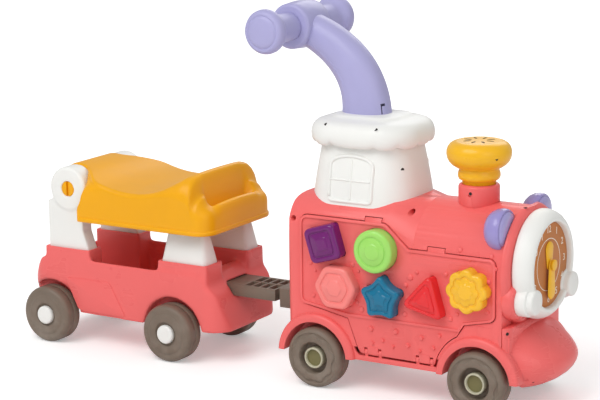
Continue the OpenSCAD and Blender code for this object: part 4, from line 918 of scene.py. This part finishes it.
def slot_tree():
    """Geometry Nodes that set out rounded bars in a ring about a vertical axis."""
    tree, given, result = new_group(
        "sound_slots", [("Middle", "Geometry", None), ("Count", "Int", 1), ("Radius", "Float", 0.0),
                        ("Finish", "Material", None)], [("Slots", "Geometry")], "GeometryNodeTree")
    count = given.outputs["Count"]
    circle = add_node(tree, "GeometryNodeMeshCircle", {"Vertices": count, "Radius": given.outputs["Radius"]})
    ring = add_node(tree, "GeometryNodeTransform",
                    {"Geometry": circle.outputs["Mesh"], "Translation": (HORN[0], HORN[1], SLOT_Z)})
    bar = add_node(tree, "GeometryNodeMeshUVSphere", {"Segments": 16, "Rings": 8, "Radius": 1.0})
    flat = add_node(tree, "GeometryNodeTransform", {"Geometry": bar.outputs["Mesh"], "Scale": SLOT_HALF})
    share = math_node(tree, "DIVIDE", tree.nodes.new("GeometryNodeInputIndex").outputs["Index"], count)
    turn = add_node(tree, "ShaderNodeCombineXYZ", {"Z": math_node(tree, "MULTIPLY", share, 2 * math.pi)})
    spread = add_node(tree, "GeometryNodeInstanceOnPoints",
                      {"Points": ring.outputs["Geometry"], "Instance": flat.outputs["Geometry"],
                       "Rotation": turn.outputs["Vector"]})
    end_in_finish(tree, spread, given, result)
    return tree


def make_slots():
    """Eight sound slots in the knob's flat top: flat dark bars, painted shade for the openings."""
    source = new_object("slot_source", bpy.data.meshes.new("slot_source"))
    piece = run_tree(slot_tree(), source, "horn_slots", {"Count": 8, "Radius": 14.5 * MM, "Finish": slot_painted_shade})
    piece.data.shade_smooth()
    mount(piece, "horn_knob", "yellow")


make_horn()
make_bellows()
make_slots()
screw_holes("horn_screw_hole", [((285.8, -19.7, 290.6), (0.857, -0.515, 0.0), 1.9)], yellow, "horn_knob", "yellow")


# Clock front
# A white barrel-shaped ring on the boiler's front wall with two buffers moulded on, a brown printed dial with plain
# numerals sunk into it, and two puffed yellow hands that turn on a pin.
dial_brown = plastic("dial_card", srgb(198, 124, 66), gloss=0.5, drift=0.06, grain=1500.0)
numeral_white = plastic("numeral_print", srgb(246, 240, 226), gloss=0.5)
dress("clock_dial", dial_brown, 0.4)
CLOCK_Z, BUFFER_Y, BUFFER_Z = 168.0, 49.5, 134.6
NUMERAL_R, NUMERAL_SIZE = 41.5 * MM, 0.0118
DIAL_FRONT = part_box("clock_dial")[1].x / MM


def add_at_buffers(points, faces, profile):
    """Adds a turned part at the place of each buffer."""
    for side in (-1, 1):
        add_part(points, faces, loft(turned(profile, (0, side * BUFFER_Y * MM, BUFFER_Z * MM), (1, 0, 0), 72)))


def make_ring():
    """The ring as a turned barrel round the dial, with the two stepped buffers."""
    profile = [(48.0, 326.2), (61.0, 326.2), (63.4, 327.0), (64.3, 329.0), (64.6, 333.0), (64.2, 337.0), (63.0, 340.8),
               (61.2, 344.2), (58.8, 347.0), (56.4, 348.9), (54.0, 349.8), (52.4, 349.8), (51.2, 349.0),
               (50.5, 347.4), (50.3, 345.0), (50.2, DIAL_FRONT - 3.6), (48.0, DIAL_FRONT - 3.6)]
    points, faces = loft(turned(profile, (0, 0, CLOCK_Z * MM), (1, 0, 0), 144, closed=True), False, False)
    buffer = [(0.01, 326.2), (16.8, 326.2), (17.5, 327.0), (17.5, 343.4), (17.1, 344.4), (16.2, 345.0), (15.4, 345.1),
              (15.0, 345.8), (14.9, 350.4), (14.2, 352.2), (12.6, 353.0), (6.0, 353.3), (0.01, 353.4)]
    add_at_buffers(points, faces, buffer)
    make_piece("clock_ring", points, faces, [white], "engine", "white", ["front_ring"], crisp=60)


def make_collars():
    """The coral cups that the boiler's front swells into behind both buffers."""
    profile = [(0.01, 316.0), (21.0, 316.0), (22.6, 318.0), (23.2, 321.0), (23.2, 325.0), (22.8, 328.0), (21.6, 330.4),
               (19.8, 331.6), (18.2, 331.9), (0.01, 331.9)]
    points, faces = [], []
    add_at_buffers(points, faces, profile)
    make_piece("buffer_collars", points, faces, [coral], "engine", "coral")


def make_numerals():
    """The numerals 1 to 12 and a thin printed circle, laid on the dial."""
    points, faces = [], []
    for hour in range(1, 13):
        curve = bpy.data.curves.new("numeral", "FONT")
        curve.body = str(hour)
        curve.size = NUMERAL_SIZE
        curve.align_x, curve.align_y = "CENTER", "CENTER"
        curve.extrude = 0.0001
        mesh = as_mesh(new_object("numeral", curve))
        a = math.radians(90 - hour * 30)
        across, up = NUMERAL_R * math.cos(a), CLOCK_Z * MM + NUMERAL_R * math.sin(a)
        shape = [((DIAL_FRONT + 0.15) * MM + v.co.z, v.co.x + across, v.co.y + up) for v in mesh.vertices]
        add_part(points, faces, (shape, [tuple(polygon.vertices) for polygon in mesh.polygons]))
        bpy.data.meshes.remove(mesh)
    circle = [(30.2, DIAL_FRONT - 0.1), (30.2, DIAL_FRONT + 0.2), (31.0, DIAL_FRONT + 0.2), (31.0, DIAL_FRONT - 0.1)]
    rings = turned(circle, (0, 0, CLOCK_Z * MM), (1, 0, 0), 120, closed=True)
    add_part(points, faces, loft(rings, False, False))
    make_piece("dial_numerals", points, faces, [numeral_white], "engine", "dial", smooth=False)


def make_hand(node, length, hub, tip):
    """A puffed hand: an outline round a spine from the pin to the tip, domed towards the front."""
    low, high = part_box(node)
    steps = 48
    outline = []
    for i in range(steps):
        a = 2 * math.pi * i / steps
        up = math.sin(a)
        blend = smooth_step(-0.25, 0.25, up * (1 if length > 0 else -1))
        radius = hub + (tip - hub) * blend
        outline.append((Vector((math.cos(a), math.sin(a))) * radius, blend * length))
    rings = []
    for share, rise in ((0.9, 0.0), (1.0, 0.12), (1.0, 0.3), (0.96, 0.52), (0.87, 0.7), (0.7, 0.86), (0.45, 0.96),
                        (0.2, 1.0)):
        rings.append([(low.x + (high.x - low.x) * rise, p.x * share * MM, (CLOCK_Z + p.y * share + spine) * MM)
                      for p, spine in outline])
    make_piece("puffed_" + node, *loft(rings), [yellow], node, "yellow", [node])


make_ring()
make_collars()
make_numerals()
make_hand("hour_hand", 17.6, 6.4, 10.0)
make_hand("minute_hand", -31.6, 6.6, 9.4)
dress("clock_pin", yellow, 0.4)


# Headlamps
# Two lavender lamps on the boiler's shoulders: a rounded body, a groove and a paler lens towards the front. Both are
# glossy mouldings, half sunk into the shell and clipped to it.
lamp_body = plastic("lamp_body", srgb(154, 144, 202), gloss=0.2, coat=0.4)
lens = plastic("lamp_lens", srgb(166, 158, 210), gloss=0.16, coat=0.6)
LAMP_Y, LAMP_Z, LENS_X = 48.0, 215.0, 0.3133


def make_lamp(node, side):
    """One lamp turned about an axis along the boiler."""
    profile = [(0.01, 287.8), (7.0, 288.2), (13.0, 289.8), (18.0, 292.6), (21.6, 296.4), (24.0, 301.2), (25.0, 306.4),
               (24.8, 310.4), (24.0, 312.6), (22.9, 313.6), (22.1, 313.2), (21.7, 312.4), (21.3, 313.2), (21.0, 314.0),
               (19.6, 315.2), (17.0, 316.1), (11.6, 316.7), (5.0, 316.9), (0.01, 316.9)]
    rings = turned(profile, (0, side * LAMP_Y * MM, LAMP_Z * MM), (1, 0, 0), 96)
    piece = make_piece("domed_" + node, *loft(rings), [lamp_body, lens], "engine", "lavender", [node])
    for polygon in piece.data.polygons:
        polygon.material_index = 1 if polygon.center.x > LENS_X else 0


make_lamp("lamp_right", -1)
make_lamp("lamp_left", 1)


# Hitch
# A taupe socket on the engine's rear wall, the pin that drops through it, and the trailer's drawbar with open cells.
# All three are plain mouldings in the wheels' plastic.
for part in ("hitch_receiver", "hitch_pin", "drawbar"):
    dress(part, taupe, 0.5)


# Trailer tub
# One coral moulding with four square sockets for the posts and a low raised field on each side. White domed caps close
# the hubs of its wheels.
def softened(node, voxel, rounds, material, body, slot):
    """A copy of a solid whose edges are eased all round, as a mould leaves them; it takes the solid's place."""
    source = new_object("solid_" + node, nodes[node].data.copy())
    weld(source)
    cells = source.modifiers.new("cells", "REMESH")
    cells.mode = "VOXEL"
    cells.voxel_size = voxel * MM
    eased = source.modifiers.new("eased", "SMOOTH")
    eased.factor = 0.5
    eased.iterations = rounds
    piece = as_piece(source, "soft_" + node)
    cover(piece, material)
    mount(piece, body, slot, node)


def make_side_panels():
    """A low raised field on both sides, between the rear wheel's arch and a slanting edge."""
    points, faces = [], []
    corners, middle = [(-318, 88), (-247, 90), (-222, 46), (-298, 46)], Vector((-270, 68))
    for side in (-1, 1):
        rings = []
        for inset, reach in ((0.0, 66.8), (0.0, 68.3), (0.3, 68.8), (1.0, 69.0)):
            outline = [p + (middle - p).normalized() * inset for p in round_corners(corners, 6.0)]
            rings.append([(p.x * MM, side * reach * MM, p.y * MM) for p in outline])
        add_part(points, faces, loft(rings))
    make_piece("trailer_side_panels", points, faces, [coral], "trailer", "coral", crisp=50)


softened("trailer_body", 2.0, 18, coral, "trailer", "coral")
make_side_panels()
for caps in ("trailer_caps_rear", "trailer_caps_front"):
    dress(caps, white, 0.5)

# Posts
# Four white columns pushed into the tub's sockets. The rear pair end in the eye discs that hold the seat's pins, and
# the front pair carry the seat's skirt.
for post in ("rear_post_right", "rear_post_left"):
    softened(post, 1.2, 18, white, "trailer", "white")
for post in ("front_post_right", "front_post_left"):
    dress(post, white, 5.0)

# Seat
# A blow-moulded amber saddle, hollow below, with a rear roll between the posts, a hump in front and a finger trough
# behind its thick lip. Its two slotted pins turn in the eye discs, and a bead runs along the foot of its skirt.
amber = plastic("amber_plastic", srgb(241, 170, 6), gloss=0.36, drift=0.03, grain=800.0)
SEAT_FOOT, SEAT_HALF, SEAT_CROWN, ROLL_HALF, ROLL_R = 168.0, 78.0, 2.4, 41.4, 30.0
PIVOT_X, PIVOT_Z, EYE_CLEAR, PIN_R = -311.0, 206.0, 31.5, 9.9
WIDE_X, HUMP_X, LIP_X, LIP_R = -287.0, -121.0, -85.0, 23.0
CORNER_X, SEAT_CRISP = LIP_X - LIP_R, 44
PIVOT = (PIVOT_X * MM, 0, PIVOT_Z * MM)
SADDLE_LINE = [(-311, 236.0), (-306, 235.8), (-300, 235.3), (-293, 234.3), (-287, 233.2), (-279, 231.4), (-274, 229.9),
               (-268, 228.0), (-261, 225.6), (-255, 223.6), (-248, 221.4), (-240, 219.4), (-232, 217.6), (-225, 216.4),
               (-217, 215.4), (-210, 214.8), (-202, 214.5), (-194, 214.6), (-187, 215.1), (-180, 216.0), (-172, 217.5),
               (-165, 219.4), (-157, 222.0), (-150, 225.0), (-144, 228.1), (-138, 231.4), (-132, 235.0), (-128, 237.4),
               (-124, 239.4), (-121, 240.4), (-118, 240.9), (-116, 240.9), (-114, 239.8), (-112.6, 237.2),
               (-111.5, 233.0), (-110.6, 226.5), (-109.8, 217.5), (-108.8, 207.0), (-107.4, 199.0), (-105.6, 194.8),
               (-103.4, 193.2), (-101.6, 193.4), (-100, 195.0), (-98.4, 197.8), (-96.6, 200.4), (-94.4, 202.3),
               (-92, 203.0), (-89.8, 202.4), (-87.8, 200.4), (-86.4, 197.2), (-85.4, 193.0), (-85, 188.0)]
WALL_LINE = [(-121, 240.4), (-116, 240.0), (-112, 237.4), (-108, 230.0), (-104, 219.6), (-100, 210.8), (-96, 205.2),
             (-91, 201.4), (-88, 198.6), (-86.4, 195.0), (-85.4, 190.6), (-85, 186.0)]
EDGE_LINE = [(-287, 3.5), (-279, 5.0), (-262, 5.0), (-170, 6.0), (-155, 8.0), (-143, 13.0), (-132, 21.0), (-122, 28.0),
             (-114, 31.0), (-106, 28.0), (-99, 20.0), (-93, 13.0), (-88, 9.0), (-85, 7.0)]
SHOULDER_LINE = [(-311, 41.4), (-300, 41.6), (-293, 45.0), (-287, 51.0), (-279, 59.0), (-268, 69.5), (-261, 75.0),
                 (-255, 77.4), (-248, 78.0), (-108, 78.0)]
FLANK_LINE = [(-279, 203.0), (-274, 211.0), (-268, 216.0), (-261, 218.4), (-255, 217.8)]


def on_line(line, x):
    """Height or width on a line of places, straight between neighbours."""
    for (x0, v0), (x1, v1) in zip(line, line[1:]):
        if x <= x1:
            return v0 + (v1 - v0) * max(0.0, (x - x0) / (x1 - x0))
    return line[-1][1]


def seat_half(x):
    """Half width of the saddle's top, with the front corners rounded in plan."""
    if x <= CORNER_X:
        return on_line(SHOULDER_LINE, x)
    return SEAT_HALF - LIP_R + math.sqrt(max(0.0, LIP_R ** 2 - (x - CORNER_X) ** 2))


def seat_top(x, y):
    """Height of the saddle's top: crowned, with a trough that stops short of the two side walls."""
    middle = on_line(SADDLE_LINE, x) - SEAT_CROWN * (y / SEAT_HALF) ** 2
    if x < HUMP_X:
        return middle
    trough_end, wall_y, lip_lift, lip_half, lip_rear, lip_top = 40.0, 55.0, 2.2, 60.0, -101.0, -94.0
    wall = smooth_step(trough_end, wall_y, abs(y))
    lift = lip_lift * (1 - (y / lip_half) ** 2) * smooth_step(lip_rear, lip_top, x) * (1 - wall)
    return middle * (1 - wall) + (on_line(WALL_LINE, x) - SEAT_CROWN) * wall + lift


def seat_section(x, foot_half, flank, edge, rear=None):
    """One open cross section of the seat, from its right-hand foot over the top to the left-hand foot."""
    half = seat_half(x)
    inner = half - edge
    top = seat_top(x, inner)
    flank = min(flank, top - edge - 3.0)
    side = [(foot_half, SEAT_FOOT + (flank - SEAT_FOOT) * k / 6) for k in range(7)]
    side += [(foot_half + (half - foot_half) * k / 5, flank + (top - edge - flank) * k / 5) for k in range(1, 6)]
    side += [(inner + edge * math.cos(a), top - edge * (1 - math.sin(a)))
             for k in range(1, 7) for a in [math.pi / 2 * k / 6]]
    side += [(y, seat_top(x, y)) for k in range(1, 26) for y in [inner * (1 - k / 26)]]
    line = [(-y, z) for y, z in side] + [(0.0, seat_top(x, 0.0))] + [(y, z) for y, z in reversed(side)]
    return [((rear(z) if rear else x) * MM, y * MM, z * MM) for y, z in line]


def behind_eye(z):
    """Rear edge of the wide part at a height: clear of the eye disc, and upright below it."""
    return max(WIDE_X, PIVOT_X + math.sqrt(max(0.0, EYE_CLEAR ** 2 - (z - PIVOT_Z) ** 2)))


def make_saddle():
    """The seat's hollow shell as cross sections from the roll to the lip."""
    roll_edge, rear_flank, any_flank, wall_mm = 3.5, 197.0, 240.0, 3.0
    rings = []
    for x, _ in SADDLE_LINE:
        if x <= WIDE_X:
            eye_top = PIVOT_Z + math.sqrt(EYE_CLEAR ** 2 - (x - PIVOT_X) ** 2)
            rings.append(seat_section(x, ROLL_HALF - 0.2, eye_top, roll_edge))
        if x == WIDE_X:
            rings.append(seat_section(x, SEAT_HALF, rear_flank, roll_edge, behind_eye))
        if x > WIDE_X:
            foot = SEAT_HALF if x < CORNER_X else seat_half(x)
            flank = on_line(FLANK_LINE, x) if x <= FLANK_LINE[-1][0] else any_flank
            rings.append(seat_section(x, foot, flank, on_line(EDGE_LINE, x)))
    count = len(rings[0])
    points = [p for ring in rings for p in ring]
    faces = sheet_faces(len(rings), count)
    faces += [tuple(range(count - 1, -1, -1)), tuple((len(rings) - 1) * count + i for i in range(count))]
    piece = make_piece("seat_saddle", points, faces, [amber], "seat", "amber", ["seat"])
    wall = piece.modifiers.new("moulded_wall", "SOLIDIFY")
    wall.thickness = wall_mm * MM
    wall.offset = -1.0
    piece.modifiers.new("crisp_edges", "EDGE_SPLIT").split_angle = math.radians(SEAT_CRISP)


def make_seat_fittings():
    """The rear roll, the two slotted pins and the bead along the foot of the skirt."""
    roll = [(0.01, -ROLL_HALF), (24.0, -ROLL_HALF), (26.6, -41.0), (28.6, -39.8), (29.7, -38.0), (ROLL_R, -35.6)]
    roll += [(r, -y) for r, y in reversed(roll)]
    points, faces = loft(turned(roll, PIVOT, (0, 1, 0), 96))
    pin = [(PIN_R, 40.0), (PIN_R, 62.6), (0.01, 62.6)]
    for side in (-1, 1):
        add_part(points, faces, loft(turned(pin, PIVOT, (0, side, 0), 48)))
        for turn in (-1, 1):
            land = [(turn * max(1.5, PIN_R * math.cos(a)), PIN_R * math.sin(a))
                    for degrees in range(-78, 79, 12) for a in [math.radians(degrees)]]
            rings = [[((PIVOT_X + x * share) * MM, side * y * MM, (PIVOT_Z + z * share) * MM) for x, z in land]
                     for share, y in ((1.0, 62.0), (1.0, 64.6), (0.97, 65.1), (0.9, 65.3))]
            add_part(points, faces, loft(rings))
    path = [(x, SEAT_HALF) for x in (-285, -270, *range(-255, -108, 12))]
    path += arc((CORNER_X, SEAT_HALF - LIP_R), LIP_R, 90, 0, 10)
    path += [(LIP_X, SEAT_HALF - LIP_R - 11 * k) for k in range(1, 5)]
    path += [(LIP_X, 0.0)] + [(x, -y) for x, y in reversed(path)]
    bead = [(-1.2, 0.0), (0.8, 0.0), (1.5, 1.0), (1.6, 3.6), (1.2, 5.2), (0.2, 6.0), (-1.2, 6.2)]
    rings = []
    for i, (x, y) in enumerate(path):
        along = way_along(path, i)
        rings.append([((x - along.y * out) * MM, (y + along.x * out) * MM, (SEAT_FOOT + up) * MM) for out, up in bead])
    add_part(points, faces, loft(rings))
    make_piece("seat_roll_and_pins", points, faces, [amber], "seat", "amber", crisp=SEAT_CRISP)


make_saddle()
make_seat_fittings()


# Studio
# A white floor that runs on behind as a white backdrop, one large soft light above on the left, a weaker one on the
# right, a small one in front for the highlights and one behind. The camera stands where the photograph was taken from.
def make_floor():
    """A flat floor with a plain pale finish, far wider than the picture."""
    material, tree, shader = new_material("studio_floor")
    darkest, palest, near, far, near_glow, far_glow = 0.93, 0.95, 0.5, 2.2, 0.3, 0.7
    place = tree.nodes.new("ShaderNodeTexCoord").outputs["Object"]
    shade = map_range(tree, noise(tree, place, 3.0, 2.0), 0.0, 1.0, darkest, palest)
    grey = add_node(tree, "ShaderNodeCombineColor", {"Red": shade, "Green": shade, "Blue": shade})
    away = add_node(tree, "ShaderNodeVectorMath", {0: place}, operation="LENGTH")
    paler = map_range(tree, away.outputs["Value"], near, far, near_glow, far_glow)
    lift = math_node(tree, "MULTIPLY", tree.nodes.new("ShaderNodeLightPath").outputs["Is Camera Ray"], paler)
    feed(tree, shader, {"Base Color": grey.outputs["Color"], "Roughness": 0.8,
                        "Emission Color": (1.0, 1.0, 1.0, 1.0), "Emission Strength": lift})
    half, cells = 6.0, 12
    row = cells + 1
    mesh = bpy.data.meshes.new("studio_floor")
    mesh.from_pydata([(-half + 2 * half * i / cells, -half + 2 * half * j / cells, 0.0)
                      for j in range(row) for i in range(row)], [], sheet_faces(row, row))
    mesh.materials.append(material)
    new_object("studio_floor", mesh)


def make_light(name, place, target, size, power):
    """A square soft light that faces a point."""
    data = bpy.data.lights.new(name, "AREA")
    data.shape = "SQUARE"
    data.size = size
    data.energy = power
    lamp = new_object(name, data)
    lamp.location = place
    lamp.rotation_euler = (Vector(target) - Vector(place)).to_track_quat("-Z", "Y").to_euler()


def make_world():
    """Even white light all round; the camera sees it as plain white."""
    world = bpy.data.worlds.new("studio_white")
    world.use_nodes = True
    tree = world.node_tree
    on_train, on_camera = 0.5, 1.0
    path = tree.nodes.new("ShaderNodeLightPath")
    strength = map_range(tree, path.outputs["Is Camera Ray"], 0.0, 1.0, on_train, on_camera)
    feed(tree, tree.nodes["Background"], {"Color": (1.0, 1.0, 1.0, 1.0), "Strength": strength})
    bpy.context.scene.world = world


make_floor()
make_world()
make_light("key", (-0.5, -1.9, 2.4), (0.0, 0.0, 0.2), 1.8, 38.0)
make_light("fill", (2.2, -1.2, 1.2), (0.1, 0.0, 0.2), 1.6, 9.0)
make_light("glint", (0.5, -1.7, 1.9), (0.1, 0.0, 0.15), 0.45, 4.0)
make_light("rim", (-0.4, 2.0, 1.6), (0.0, 0.0, 0.3), 1.4, 12.0)

camera_data = bpy.data.cameras.new("photo_camera")
camera_data.sensor_fit = "HORIZONTAL"
camera_data.sensor_width = 36.0
camera_data.lens = 121.795
camera_data.clip_start, camera_data.clip_end = 0.05, 50.0
camera = new_object("photo_camera", camera_data)
right, up = Vector((0.8466, 0.5318, -0.0182)), Vector((-0.0982, 0.1897, 0.9769))
back = Vector((0.5230, -0.8253, 0.2128))
turn = Matrix((right, up, back)).transposed().to_4x4()
camera.matrix_world = Matrix.Translation((1.3212, -2.0785, 0.7463)) @ turn
bpy.context.scene.camera = camera
bpy.context.scene.view_settings.view_transform = "Standard"
